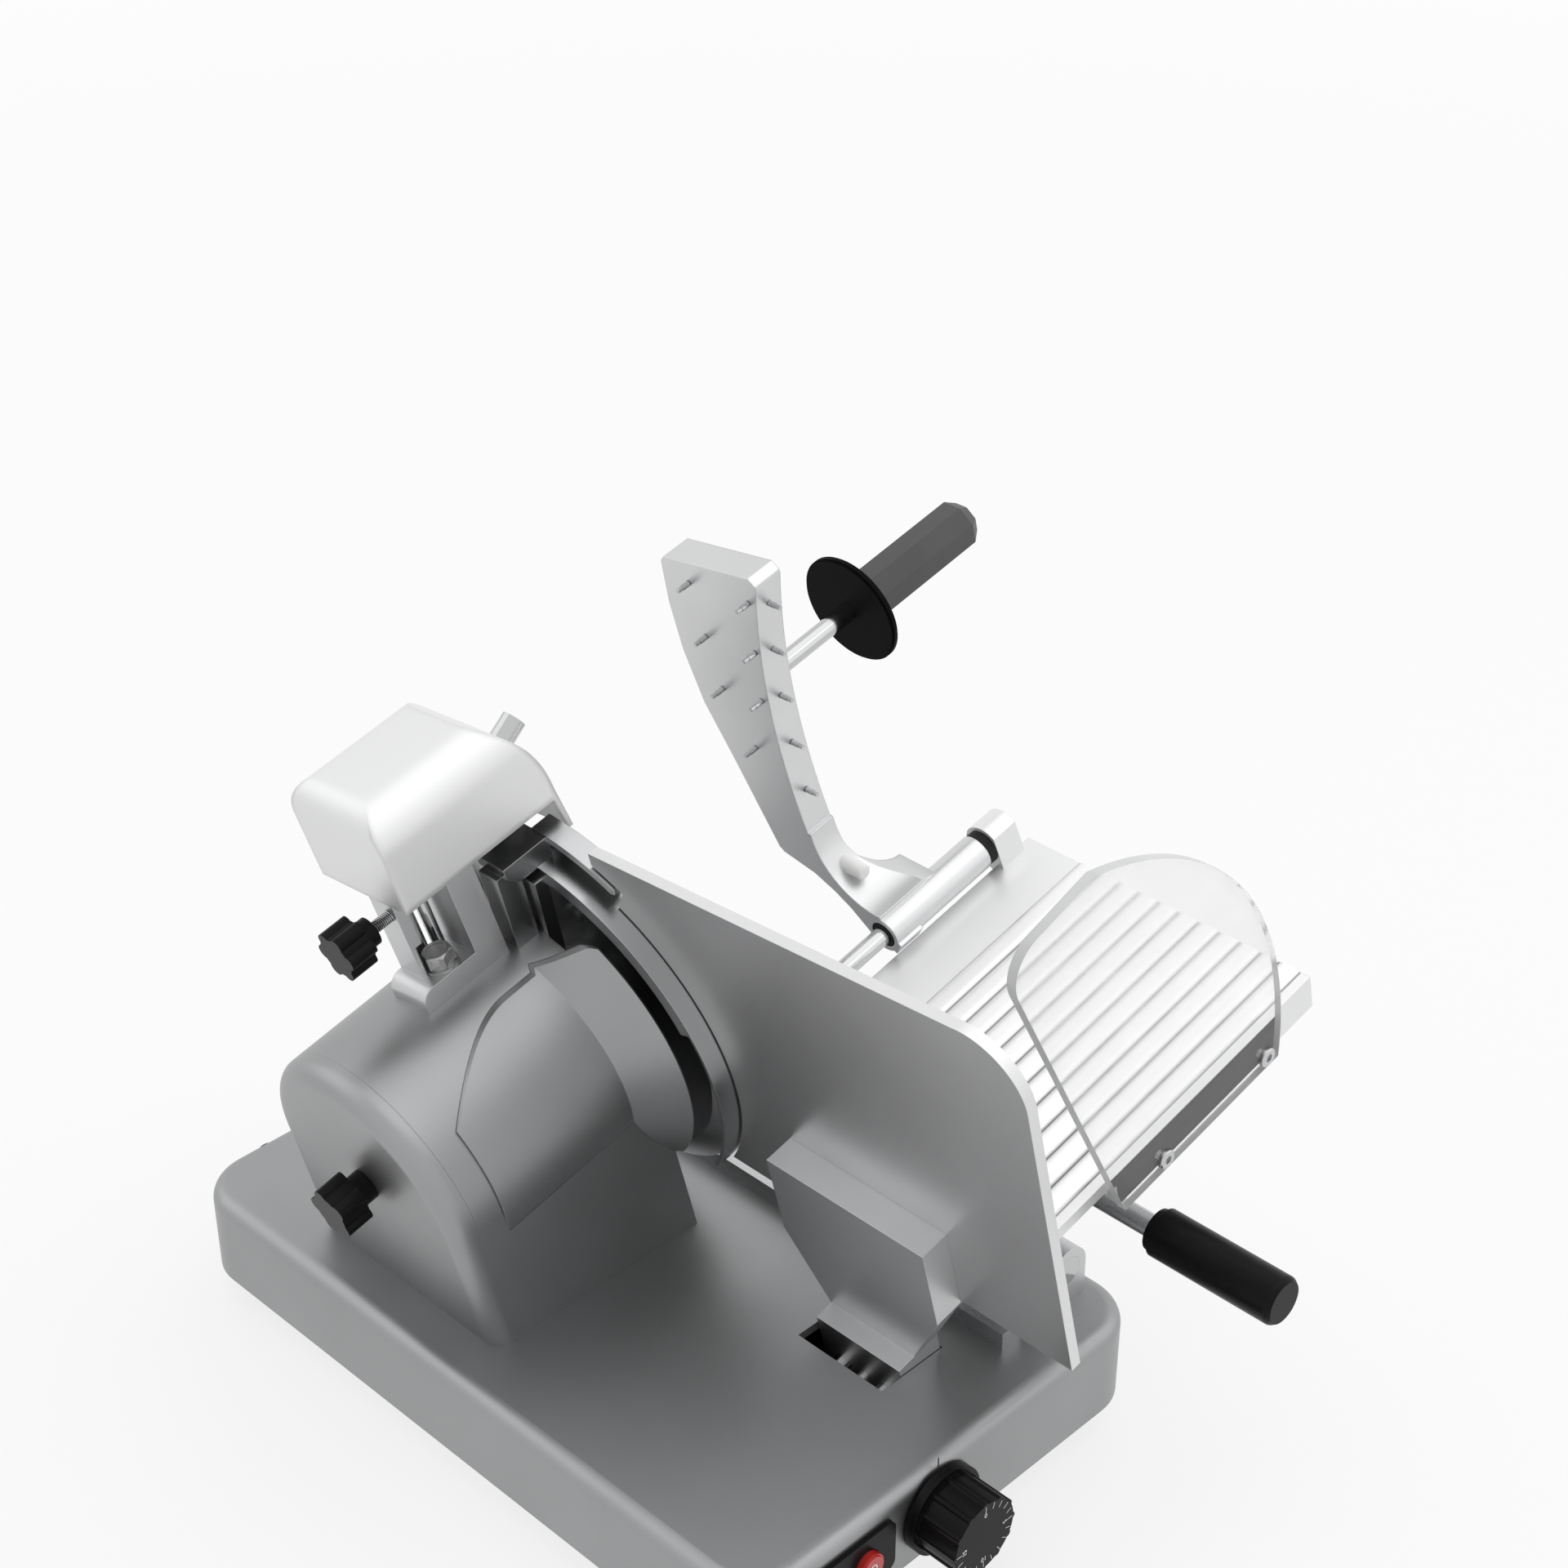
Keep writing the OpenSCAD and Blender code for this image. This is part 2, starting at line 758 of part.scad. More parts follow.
module ring_guard() color("#c3c6ca") tilted() {
    difference() {
        union() {
            difference() {
                union() {
                    sweep_n(ring_from, ring_to) span(ring_flange_r, ring_n, ring_out, ring_n + ring_flange_t);
                    sweep_n(ring_from, rim_to) span(ring_in, ring_n, ring_out, cover_plate_n);
                    sweep_n(band_from, band_to) {
                        span(ring_in, band_n1 - band_web_t, band_out, band_n1);
                        span(band_in, band_n0, band_out, band_n1);
                    }
                }
                sweep_n(window_from, window_to)
                    span(ring_in - eps, ring_n + ring_flange_t - window_dip, band_out + eps, band_n1 + eps);
            }
            for (a = [band_to, band_from]) rotate([a, 0, 0]) translate([0, (band_in + band_out) / 2, 0])
                bar_n(band_n0 + band_nip, band_n1 - band_nip, (band_out - band_in) / 2 - band_nip);
            for (a = ring_arms) rotate([a, 0, 0]) {
                translate([front_n, ring_arm_in, -ring_arm_w / 2])
                    cube([ring_n - front_n + eps, ring_arm_r - ring_arm_in, ring_arm_w]);
                translate([0, ring_arm_in, 0]) bar_n(front_n, ring_n + eps, ring_arm_w / 2);
            }
            ring_bridge();
        }
        for (a = ring_arms) rotate([a, 0, 0]) translate([0, ring_screw_pcr, 0])
            bar_n(front_n - eps, ring_n + 2 * eps, ring_screw_r + seat_gap);
    }
}

module ring_bridge() {
    slab_y(bridge_y0, bridge_y1) polygon([[bridge_n, bridge_low + bridge_chamfer],
        [bridge_n + bridge_chamfer, bridge_low], [ring_n, bridge_low], [ring_n, ring_mid],
            [band_n0 + eps, ring_mid],
        [band_n0 + eps, band_out - bridge_sink], [bridge_n, band_out - bridge_sink]]);
    difference() {
        translate([post_n0, bridge_y0 + bridge_step, 0])
            cube([post_n1 - post_n0, bridge_y1 - bridge_y0 - 2 * bridge_step, bridge_low + bridge_chamfer]);
        bar_n(post_n0 - eps, post_n1 + eps, housing_r + seat_gap);
    }
}

module ring_screws() color("#8f9499") tilted()
    for (a = ring_arms) rotate([a, 0, 0]) translate([0, ring_screw_pcr, 0]) {
        bar_n(front_n - ring_screw_len, ring_n + eps, ring_screw_r);
        bar_n(ring_n + eps, ring_n + eps + ring_screw_head_t, ring_screw_head_r);
    }

module cowl_outline() {
    bend = [cowl_bend_n, cowl_top - cowl_bend_r];
    bend_to = acos((cowl_end_n - cowl_bend_n) / cowl_bend_r);
    polygon(concat([[cowl_end_n, -housing_r]], arc(bend, cowl_bend_r, bend_to, 90), [[cowl_corner_n,
        cowl_top]],
        arc(cowl_ear, cowl_ear_r, cowl_ear_from, 0), [[cowl_ear[0] + cowl_ear_r, -housing_r]]));
}

module slice_deflector() color("#dcdfe2") tilted() difference() {
    intersection() {
        sweep_n(cowl_from, cowl_to) polygon([[cowl_in, cowl_end_n], [cowl_r, cowl_end_n],
            [cowl_r, cowl_crease_n], [cowl_lip_r, cowl_lip_n - cowl_t], [cowl_lip_r - cowl_t, cowl_lip_n],
            [cowl_in, cowl_crease_n]]);
        slab_y(-2 * housing_r, 0) cowl_outline();
    }
    translate([rear_n, -housing_r, -housing_depth]) cube([front_n - rear_n, housing_r, housing_depth]);
}

module gauge_plate() color("#9b9ea2") tilted() slab_n(-gauge_t, 0) difference() {
    union() {
        polygon([[-gauge_in, gauge_bottom], [-gauge_in, gauge_top_in],
            [gauge_corner - gauge_end, gauge_top_out],
            [-gauge_end, gauge_top_out - gauge_corner], [-gauge_end, gauge_bottom]]);
        translate([gauge_corner - gauge_end, gauge_top_out - gauge_corner]) circle(gauge_corner);
    }
    circle(gauge_cut);
    intersection() {
        circle(gauge_cut_band);
        polygon([[0, 0], [gauge_end * cos(gauge_cut_phi), gauge_end * sin(gauge_cut_phi)], [0, gauge_end]]);
    }
}

module gauge_support() color("#b3b6ba") tilted() difference() {
    union() {
        slab_n(-gauge_t - support_t, -gauge_t) polygon([[slide_y - slide_w / 2, slide_t1],
            [slide_y - support_w / 2, support_top - support_w / 2], [slide_y - support_w / 2, support_top],
            [slide_y + support_w / 2, support_top], [slide_y + support_w / 2, support_top - support_w / 2],
            [slide_y + slide_w / 2, slide_t1]]);
        translate([-gauge_t - slide_len, slide_y - slide_w / 2, slide_t0])
            cube([slide_len, slide_w, slide_t1 - slide_t0]);
        translate([0, slide_y, guide_t]) bar_n(-gauge_t - slide_len - pin_len, -gauge_t - slide_len, pin_r);
    }
    for (y = [-guide_y, guide_y]) translate([0, slide_y + y, guide_t])
        bar_n(-gauge_t - slide_len - eps, eps, guide_r + run_gap);
}

module gauge_guides() color("#a9adb2") tilted()
    for (y = [-guide_y, guide_y]) translate([0, slide_y + y, guide_t]) bar_n(guide_n0, guide_n1, guide_r);

module dial_shaft() color("#a9adb2") placed() translate([dial_x, 0, dial_z]) {
    bar_y(base_y0 - dial_len + dial_skirt_t, slide_y + cam_t, dial_shaft_r);
    slab_y(slide_y - cam_t / 2, slide_y + cam_t / 2)
        polygon([for (i = [0 : cam_steps - 1]) let (p = 360 * i / cam_steps) cam_at(p) * [cos(p), sin(p)]]);
}

module dial_knob() color("#151516") placed() translate([dial_x, 0, dial_z]) difference() {
    union() {
        bar_y(base_y0 - dial_gap - dial_skirt_t, base_y0 - dial_gap, dial_skirt_r);
        bar_y(base_y0 - dial_gap - dial_len, base_y0 - dial_gap - dial_skirt_t, dial_r);
        for (i = [1 : dial_ribs]) rotate([0, i * 360 / dial_ribs, 0])
            translate([dial_r - dial_rib_r / 2, 0, 0])
            bar_y(base_y0 - dial_gap - dial_len, base_y0 - dial_gap - dial_skirt_t, dial_rib_r);
    }
    bar_y(base_y0 - dial_len + dial_skirt_t, base_y0, dial_shaft_r + seat_gap);
}

module switch_panel() color("#26282b") placed() difference() {
    slab_y(base_y0 - panel_t, base_y0) translate([button_x + button_pitch / 2, dial_z])
        round_span(-panel_w / 2, -panel_h / 2, panel_w / 2, panel_h / 2, panel_corner);
    for (i = [0, 1]) translate([button_x + i * button_pitch, 0, dial_z])
        bar_y(base_y0 - panel_t - eps, base_y0 + eps, button_r + air_gap);
}

module push_button(x) {
    placed() translate([x, base_y0 - panel_t - button_out, dial_z]) {
        bar_y(button_edge, button_len, button_r);
        bar_y(0, button_edge, button_r - button_edge);
    }
}

module on_button() color("#2f8f3a") push_button(button_x);

module off_button() color("#b3221e") push_button(button_x + button_pitch);

module cable_gland() color("#1b1b1c") placed() translate([gland_x, 0, gland_z]) difference() {
    union() {
        bar_y(base_y1 - base_wall - gland_nut, base_y1, gland_neck_r);
        translate([0, base_y1 + gland_nut, 0]) rotate([90, 0, 0])
            cylinder(h = gland_nut, r = gland_r, $fn = 6);
        bar_y(base_y1 + gland_nut, base_y1 + gland_len, gland_cap_r);
    }
    bar_y(base_y1 - base_wall - gland_nut - eps, base_y1 + gland_len + eps, gland_bore_r);
}

module carriage_rail() color("#c7cbd0") placed() translate([slider_x, 0, rail_z])
    bar_y(rail_y0, rail_y1, rail_r);

module rail_blocks() color("#a4a8ac") placed() difference() {
    for (y = [rail_y0, rail_y1 - rail_block]) translate([slider_x, y, 0]) {
        translate([-rail_block_w / 2, 0, base_top]) cube([rail_block_w, rail_block, rail_z - base_top]);
        translate([0, 0, rail_z]) bar_y(0, rail_block, rail_block_w / 2);
    }
    translate([slider_x, 0, rail_z]) bar_y(rail_y0 - eps, rail_y1 + eps, rail_r + seat_gap);
}

module support_bar() color("#b6babf") placed() translate([bar_x - bar_w / 2, rail_y0, base_top])
    cube([bar_w, rail_y1 - rail_y0, bar_h]);

module carriage_slider() color("#9ca0a5") placed() difference() {
    translate([slider_x - slider_w / 2, slider_y0, slider_z0])
        cube([slider_w, slider_len, slider_z1 - slider_z0]);
    translate([slider_x, 0, rail_z]) bar_y(slider_y0 - eps, slider_y0 + slider_len + eps, rail_r + run_gap);
}

module slider_shoe() color("#e8e6df") placed() {
    translate([bar_x - bar_w / 2, slider_y0 + shoe_inset, base_top + bar_h + air_gap])
        cube([slider_x - slider_w / 2 - bar_x + bar_w / 2, slider_len - 2 * shoe_inset, shoe_t]);
}

module carriage_arm() color("#bfc2c6") difference() {
    placed() {
        translate([slider_x - arm_x / 2, slider_y0, slider_z1]) cube([arm_x, slider_len, axis_z]);
        translate([slider_x - slider_w / 2, slider_y0, slider_z1]) cube([slider_w, slider_len, base_wall]);
    }
    tilted() translate([-axis_z, -base_l, tray_top - tray_t]) cube([4 * axis_z, 2 * base_l, 2 * axis_z]);
    placed() translate([hold_x, 0, hold_z]) bar_y(slider_y0 - eps, slider_y0 + hold_in, hold_r + seat_gap);
    placed() translate([lock_x - lock_in - eps, slider_y0 + slider_len / 2, lock_z])
        bar_n(0, lock_in + 2 * eps, lock_r + run_gap);
    placed() translate([slider_x - arm_x, slider_y0 - eps, slider_z1 + slider_w])
        cube([arm_x / 2 + arm_relief, slider_len + 2 * eps, lock_z - arm_relief - slider_z1 - slider_w]);
}

module carriage_tray() color("#d4d7da") tilted() difference() {
    union() {
        translate([tray_n0, tray_y0, tray_top - tray_t]) cube([tray_len, tray_w, tray_t]);
        translate([guard_foot[0], tray_y0, tray_top - rim_h]) cube([tray_n1 - guard_foot[0], rim_w, rim_h]);
        translate([tray_n1 - rim_w, tray_y0, tray_top - rim_h]) cube([rim_w, tray_w, rim_h]);
        for (n = [lug_n0, lug_n1]) slab_n(n, n + lug_w) {
            translate(lug_axis) circle(lug_r);
            polygon([[rod_y - lug_foot, tray_top - tray_t], [rod_y - lug_foot, tray_top],
                lug_axis + lug_r * [-sin(45), cos(45)], lug_axis, lug_axis + lug_r * [cos(37), -sin(37)],
                [tray_y1, tray_top - tray_t]]);
        }
    }
    for (y = [tray_y1 - flute_first : -flute_pitch : tray_y0 + flute_edge])
        translate([tray_n0 - eps, y - flute_w / 2, tray_top - flute_d])
            cube([tray_len + 2 * eps, flute_w, flute_d + eps]);
    translate([0, rod_y, rod_t]) bar_n(tray_n0, tray_n1, rod_r + seat_gap);
    for (n = guard_screw_n) translate([n, 0, guard_screw_t])
        bar_y(tray_y0 - eps, tray_y0 + rim_w + eps, guard_screw_r + seat_gap);
}

module slide_rod() color("#c7cbd0") tilted() translate([0, rod_y, rod_t])
    bar_n(lug_n0, lug_n1 + lug_w, rod_r);

module rod_stops() color("#141414") tilted() translate([0, rod_y, rod_t])
    for (n = [lug_n0 + lug_w, lug_n1 - stop_t]) difference() {
        bar_n(n, n + stop_t, stop_r);
        bar_n(n - eps, n + stop_t + eps, rod_r + seat_gap);
    }

module hand_guard() color("#dfe9ee") {
    edge = guard_foot - guard_tip;
    down = edge / norm(edge);
    along = [1, guard_rise] / norm([1, guard_rise]);
    half = acos(down * along) / 2;
    reach = guard_round / tan(half);
    middle = guard_tip + (down + along) / norm(down + along) * guard_round / sin(half);
    tilted() difference() {
        slab_y(guard_y, tray_y0) intersection() {
            translate(guard_arc) circle(guard_arc_r);
            union() {
                polygon([guard_foot, guard_tip + down * reach, guard_tip + along * reach,
                    guard_tip + along * guard_arc_r * 2, [guard_arc_r * 2, guard_low]]);
                translate(middle) circle(guard_round);
            }
        }
        for (n = guard_screw_n) translate([n, 0, guard_screw_t])
            bar_y(guard_y - eps, tray_y0 + eps, guard_screw_r + seat_gap);
    }
}

module guard_screws() color("#8f9499") tilted() for (n = guard_screw_n) translate([n, 0, guard_screw_t]) {
    bar_y(guard_y - eps, tray_y0 + rim_w, guard_screw_r);
    bar_y(guard_y - guard_screw_head_t, guard_y, 2 * guard_screw_r);
}

module carriage_handle() color("#b6babf") placed() translate([hold_x, 0, hold_z])
    bar_y(slider_y0 - hold_len - hold_plug, slider_y0 + hold_in, hold_r);

module carriage_grip() color("#161617") placed() translate([hold_x, slider_y0 - hold_len, hold_z])
    rotate([90, 0, 0])
    difference() {
        rotate_extrude() {
            span(0, 0, hold_grip_r - hold_round / 2, hold_grip_len);
            span(0, hold_round, hold_grip_r, hold_grip_len - hold_round);
            translate([hold_grip_r - hold_round, hold_grip_len - hold_round]) intersection() {
                circle(hold_round);
                span(0, 0, hold_round, hold_round);
            }
        }
        translate([0, 0, -eps]) cylinder(h = hold_plug + eps, r = hold_r + seat_gap);
    }

module tray_lock_knob() color("#161617") placed() translate([lock_x, slider_y0 + slider_len / 2, lock_z]) {
    bar_n(-lock_in, lock_neck + eps, lock_r);
    slab_n(lock_neck, lock_neck + lock_knob_t) star(lock_knob_r, star_lobes);
}

module pusher_bush() color("#1a1a1b") tilted() translate([0, rod_y, rod_t]) difference() {
    union() {
        bar_n(arm_n - bush_lip, arm_n + sleeve_len, bush_r);
        bar_n(arm_n - bush_lip, arm_n - air_gap, bush_lip_r);
    }
    bar_n(arm_n - bush_lip - eps, arm_n + sleeve_len + eps, rod_r + run_gap);
}

module arm_outline() {
    polygon([[-37, 33], [-13, 94], [3, 132], [11, 170], [13, 205], [11, 236], [8, 240], [-64, 253],
        [-69, 249],
        [-80, 147], [-80, 40]]);
}

module neck_outline() {
    difference() {
        polygon([[-36, 35], [-40, 31], [-65, 26], [-80, 19], [-92, 11], [-106, rod_t - 4],
            [rod_y, rod_t], [rod_y, rod_t + sleeve_r + 4], [-80, 60], [-30, 60]]);
        translate(neck_arc) circle(neck_arc_r);
    }
}

module pusher_arm() color("#d2d5d8") tilted() difference() {
    union() {
        slab_n(arm_n, arm_n + arm_t) {
            difference() {
                arm_outline();
                translate([arm_edge[0] - arm_edge_r, arm_edge[1]]) circle(arm_edge_r, $fn = 360);
            }
            neck_outline();
        }
        intersection() {
            slab_n(arm_n, arm_n + sleeve_len) intersection() {
                neck_outline();
                span(rod_y - sleeve_r, rod_t - sleeve_r, gusset_y, rod_t + sleeve_r + gusset_r);
            }
            slab_y(rod_y - sleeve_r, gusset_y) difference() {
                span(arm_n, rod_t - sleeve_r, arm_n + arm_t + gusset_r, rod_t + sleeve_r + gusset_r);
                translate([arm_n + arm_t + gusset_r, rod_t + sleeve_r + gusset_r]) circle(gusset_r);
            }
        }
        translate([0, rod_y, rod_t]) bar_n(arm_n, arm_n + sleeve_len, sleeve_r);
        translate([arm_n + peg_n, 0, peg_t]) bar_y(peg_y0, peg_y0 + peg_len, peg_r);
        translate([arm_n, rod_y, rod_t]) rotate([tab_turn, 0, 0]) translate([0, 0, -tab_w / 2])
            cube([arm_t, sleeve_r + tab_out, tab_w]);
    }
    translate([0, rod_y, rod_t]) bar_n(arm_n - eps, arm_n + sleeve_len + eps, bush_r + run_gap);
    spike_places() translate([0, 0, -stud_len]) cylinder(h = stud_len + eps, r = stud_r + seat_gap);
    translate([0, handle_y, handle_t])
        bar_n(arm_n + arm_t - stud_len, arm_n + arm_t + eps, handle_stud_r + seat_gap);
}

module spike_places() {
    for (i = [0 : 3]) translate([arm_n, spike_row_y[i], spike_top - spike_pitch * i])
        rotate([0, -90, 0]) children();
    for (i = [0 : 2]) translate([arm_n, spike_side_y + 4 * i, spike_top + 6 - spike_pitch * i])
        rotate([0, -90, 0]) children();
    for (i = [0 : 4]) let (t = spike_top + 2 - spike_edge_pitch * i)
        translate([arm_n + arm_t / 2, edge_y(t), t]) rotate([90, 0, 0]) children();
}

module pusher_spikes() color("#9da1a6") tilted() spike_places() {
    translate([0, 0, -stud_len]) cylinder(h = stud_len + eps, r = stud_r);
    translate([0, 0, spike_lift]) cylinder(h = spike_neck, r = spike_r);
    translate([0, 0, spike_lift + spike_neck])
        cylinder(h = spike_len - spike_lift - spike_neck, r1 = spike_r, r2 = spike_tip_r);
}

module handle_rod() color("#c7cbd0") tilted() translate([0, handle_y, handle_t]) {
    bar_n(arm_n + arm_t - stud_len, arm_n + arm_t, handle_stud_r);
    bar_n(arm_n + arm_t, disc_n, handle_r);
    bar_n(disc_n - eps, disc_n + disc_t + grip_stud, handle_stud_r);
}

module hand_shield() color("#121213") tilted() translate([0, handle_y, handle_t]) difference() {
    sweep_n(0, 360) {
        span(0, disc_n, disc_r - disc_edge, disc_n + disc_t);
        span(0, disc_n + disc_edge, disc_r, disc_n + disc_t - disc_edge);
    }
    bar_n(disc_n - eps, disc_n + disc_t + eps, handle_stud_r + seat_gap);
}

module handle_grip() color("#2b2c2e") tilted()
    translate([disc_n + disc_t, handle_y, handle_t]) rotate([0, 90, 0]) rotate([0, 0, grip_turn])
        difference() {
        union() {
            cylinder(h = grip_len - grip_bevel, r = grip_w / 2, $fn = 8);
            translate([0, 0, grip_len - grip_bevel])
                cylinder(h = grip_bevel, r1 = grip_w / 2, r2 = grip_end_r, $fn = 8);
        }
        translate([0, 0, -eps]) cylinder(h = grip_stud + eps, r = handle_stud_r + seat_gap);
    }

module sharpener_bracket() color("#b7babd") sharpened() difference() {
    union() {
        intersection() {
            slab_n(foot_n0, foot_n1) difference() {
                span(foot_s0, housing_r / 2, foot_s1, foot_top);
                circle(housing_r + seat_gap);
            }
            slab_y(foot_s0, foot_s1) {
                span(foot_n0 + foot_nose, 0, foot_n1, foot_top);
                span(foot_n0, 0, foot_n1, foot_top - foot_nose);
                translate([foot_n0 + foot_nose, foot_top - foot_nose]) circle(foot_nose);
            }
        }
        translate([column_n0, foot_s0, foot_top - eps])
            cube([foot_n1 - column_n0, foot_s1 - foot_s0, column_top - foot_top + eps]);
        translate([leg_n0, leg_s0, foot_top - eps])
            cube([leg_n1 - leg_n0, foot_s1 - leg_s0, leg_top - foot_top + eps]);
    }
    translate([column_n0 - eps, foot_s0 - eps, notch_r]) cube([pad_len + eps, pad_w + eps, column_top]);
    translate([bolt_n, bolt_s, 0]) cylinder(h = foot_top + eps, r = bolt_r + seat_gap);
    translate([bolt_n, bolt_s, foot_top]) cylinder(h = bolt_room, r = washer_r + air_gap);
    for (n = posts) translate([n, post_s, foot_top - post_in])
        cylinder(h = column_top, r = post_r + seat_gap);
    translate([0, knob_s, knob_r_at]) bar_n(leg_n0 - eps, leg_n1 + eps, thread_r + run_gap);
}

module sharpener_bolt() color("#9a9ea2") sharpened() translate([bolt_n, bolt_s, 0]) {
    translate([0, 0, housing_r - housing_wall])
        cylinder(h = foot_top + 2 * washer_t - housing_r + housing_wall, r = bolt_r);
    translate([0, 0, foot_top + 2 * washer_t]) cylinder(h = bolt_head_h, r = bolt_head_r, $fn = 6);
}

module bolt_washers() color("#a6aaae") sharpened() translate([bolt_n, bolt_s, foot_top]) difference() {
    union() {
        cylinder(h = washer_t, r = washer_r);
        translate([0, 0, washer_t]) cylinder(h = washer_t, r = spring_washer_r);
    }
    translate([0, 0, -eps]) cylinder(h = 2 * washer_t + 2 * eps, r = bolt_r + seat_gap);
}

module sharpener_posts() color("#8a8e93") sharpened() for (n = posts)
    translate([n, post_s, foot_top - post_in]) cylinder(h = post_top - foot_top + post_in, r = post_r);

module fibre_pad() color("#8a4a34") sharpened() translate([column_n0, foot_s0, notch_r])
    cube([pad_len, pad_w, pad_t]);

module along_spin() {
    translate([spin_n, spin_s, spin_r]) rotate([0, 90 - spin_tilt, 0]) children();
}

module sharpener_head() color("#7f8387") sharpened() difference() {
    union() {
        translate([head_n0, head_s0, head_r0])
            cube([head_n1 - head_n0, head_s1 - head_s0, head_r1 - head_r0]);
        translate([head_n1 - eps, beam_s0, beam_r0])
            cube([beam_n1 - head_n1 + eps, beam_s1 - beam_s0, beam_r1 - beam_r0]);
        translate([stand_n, stand_s, beam_r1 - eps])
            cylinder(h = cover_top - cover_wall - beam_r1 + eps, r = stand_r);
        translate([burr_n - burr_t - yoke_t - air_gap, beam_s0, burr_at - yoke_t])
            cube([yoke_t, beam_s1 - beam_s0, beam_r0 - burr_at + yoke_t + eps]);
        translate([0, spin_s, burr_at]) bar_n(burr_n - burr_t - yoke_t, burr_n + pin_over, burr_pin_r);
        along_spin() translate([0, 0, guide_u0]) cylinder(h = guide_u1 - guide_u0, r = guide_out_r);
    }
    for (n = posts) translate([n, post_s, head_r0 - eps]) cylinder(h = cover_top, r = post_r + run_gap);
    along_spin() cylinder(h = 2 * axis_z, r = push_r + run_gap, center = true);
}

module cover_side(inset) {
    back = [cover_n0 + cover_back_r, cover_top - cover_back_r];
    low = inset > 0 ? cover_lip : cover_low;
    nose_r = cover_arc_r - inset;
    polygon(concat([[cover_n0 + inset, low]], arc(back, cover_back_r - inset, 180, 90),
        arc(cover_arc, nose_r, asin((cover_top - inset - cover_arc[1]) / nose_r), 0),
        [[cover_arc[0] + nose_r, low]]));
}

module cover_apron() {
    polygon([[cover_nose_n, cover_arc[1]], [cover_tip_n, cover_lip], [cover_tip_n - cover_wall, cover_lip],
        [cover_nose_n - cover_wall, cover_low], [cover_nose_n - 2 * cover_wall, cover_arc[1]]]);
}

module cover_front(inset) {
    left = [cover_s0 + cover_front_round, cover_top - cover_front_round];
    right = [cover_s1 - cover_side_round, cover_top - cover_side_round];
    polygon(concat([[cover_s0 + inset, cover_lip - eps]], arc(left, cover_front_round - inset, 180, 90),
        arc(right, cover_side_round - inset, 90, 0), [[cover_s1 - inset, cover_lip - eps]]));
}

module sharpener_cover() color("#cdd0d3") sharpened() difference() {
    intersection() {
        slab_y(cover_s0, cover_s1) {
            cover_side(0);
            cover_apron();
        }
        slab_n(cover_n0, cover_tip_n) cover_front(0);
    }
    intersection() {
        slab_y(cover_s0 + cover_wall, cover_s1 - cover_wall) cover_side(cover_wall);
        slab_n(cover_n0 + cover_wall, cover_tip_n) cover_front(cover_wall);
    }
    along_spin() cylinder(h = push_in * 2, r = push_r + air_gap, center = true);
}

module star_knob() color("#131314") sharpened() translate([0, knob_s, knob_r_at]) {
    bar_n(knob_n1 - eps, leg_n1 + eps, thread_r);
    slab_n(knob_n1 - knob_len, knob_n1 - knob_neck) star(knob_r, star_lobes + 1);
    bar_n(knob_n1 - knob_neck - eps, knob_n1, knob_neck_r);
}

module push_pin() color("#d9dce0") sharpened() along_spin() {
    translate([0, 0, -push_in]) cylinder(h = push_in + push_out, r = push_r);
    translate([-push_r, -push_r, -push_in]) cube([spin_drop + push_r + spindle_r, 2 * push_r, yoke_t]);
    translate([spin_drop, 0, -push_in]) cylinder(h = stone_t + yoke_t + pin_over, r = spindle_r);
}

module grinding_stone() color("#8d8a86") sharpened() along_spin()
    translate([spin_drop, 0, -push_in + yoke_t + air_gap]) difference() {
        cylinder(h = stone_t, r = stone_r);
        translate([0, 0, -eps]) cylinder(h = stone_t + 2 * eps, r = spindle_r + run_gap);
    }

module burr_stone() color("#8d8a86") sharpened() translate([0, spin_s, burr_at]) difference() {
    bar_n(burr_n - burr_t, burr_n, burr_r);
    bar_n(burr_n - burr_t - eps, burr_n + eps, burr_pin_r + run_gap);
}

base_casting();
base_plate();
rubber_feet();
drive_housing();
rear_cover();
motor();
motor_shaft();
motor_pulley();
drive_belt();
blade_pulley();
shaft_bearings();
blade_shaft();
blade();
blade_screws();
blade_cover();
cover_tie_rod();
cover_knob();
ring_guard();
ring_screws();
slice_deflector();
gauge_plate();
gauge_support();
gauge_guides();
dial_shaft();
dial_knob();
switch_panel();
on_button();
off_button();
cable_gland();
carriage_rail();
rail_blocks();
support_bar();
carriage_slider();
slider_shoe();
carriage_arm();
carriage_tray();
slide_rod();
rod_stops();
hand_guard();
guard_screws();
carriage_handle();
carriage_grip();
tray_lock_knob();
pusher_bush();
pusher_arm();
pusher_spikes();
handle_rod();
hand_shield();
handle_grip();
sharpener_bracket();
sharpener_bolt();
bolt_washers();
sharpener_posts();
fibre_pad();
sharpener_head();
sharpener_cover();
star_knob();
push_pin();
grinding_stone();
burr_stone();
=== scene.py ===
import math

import bmesh
import bpy
from mathutils import Matrix, Vector


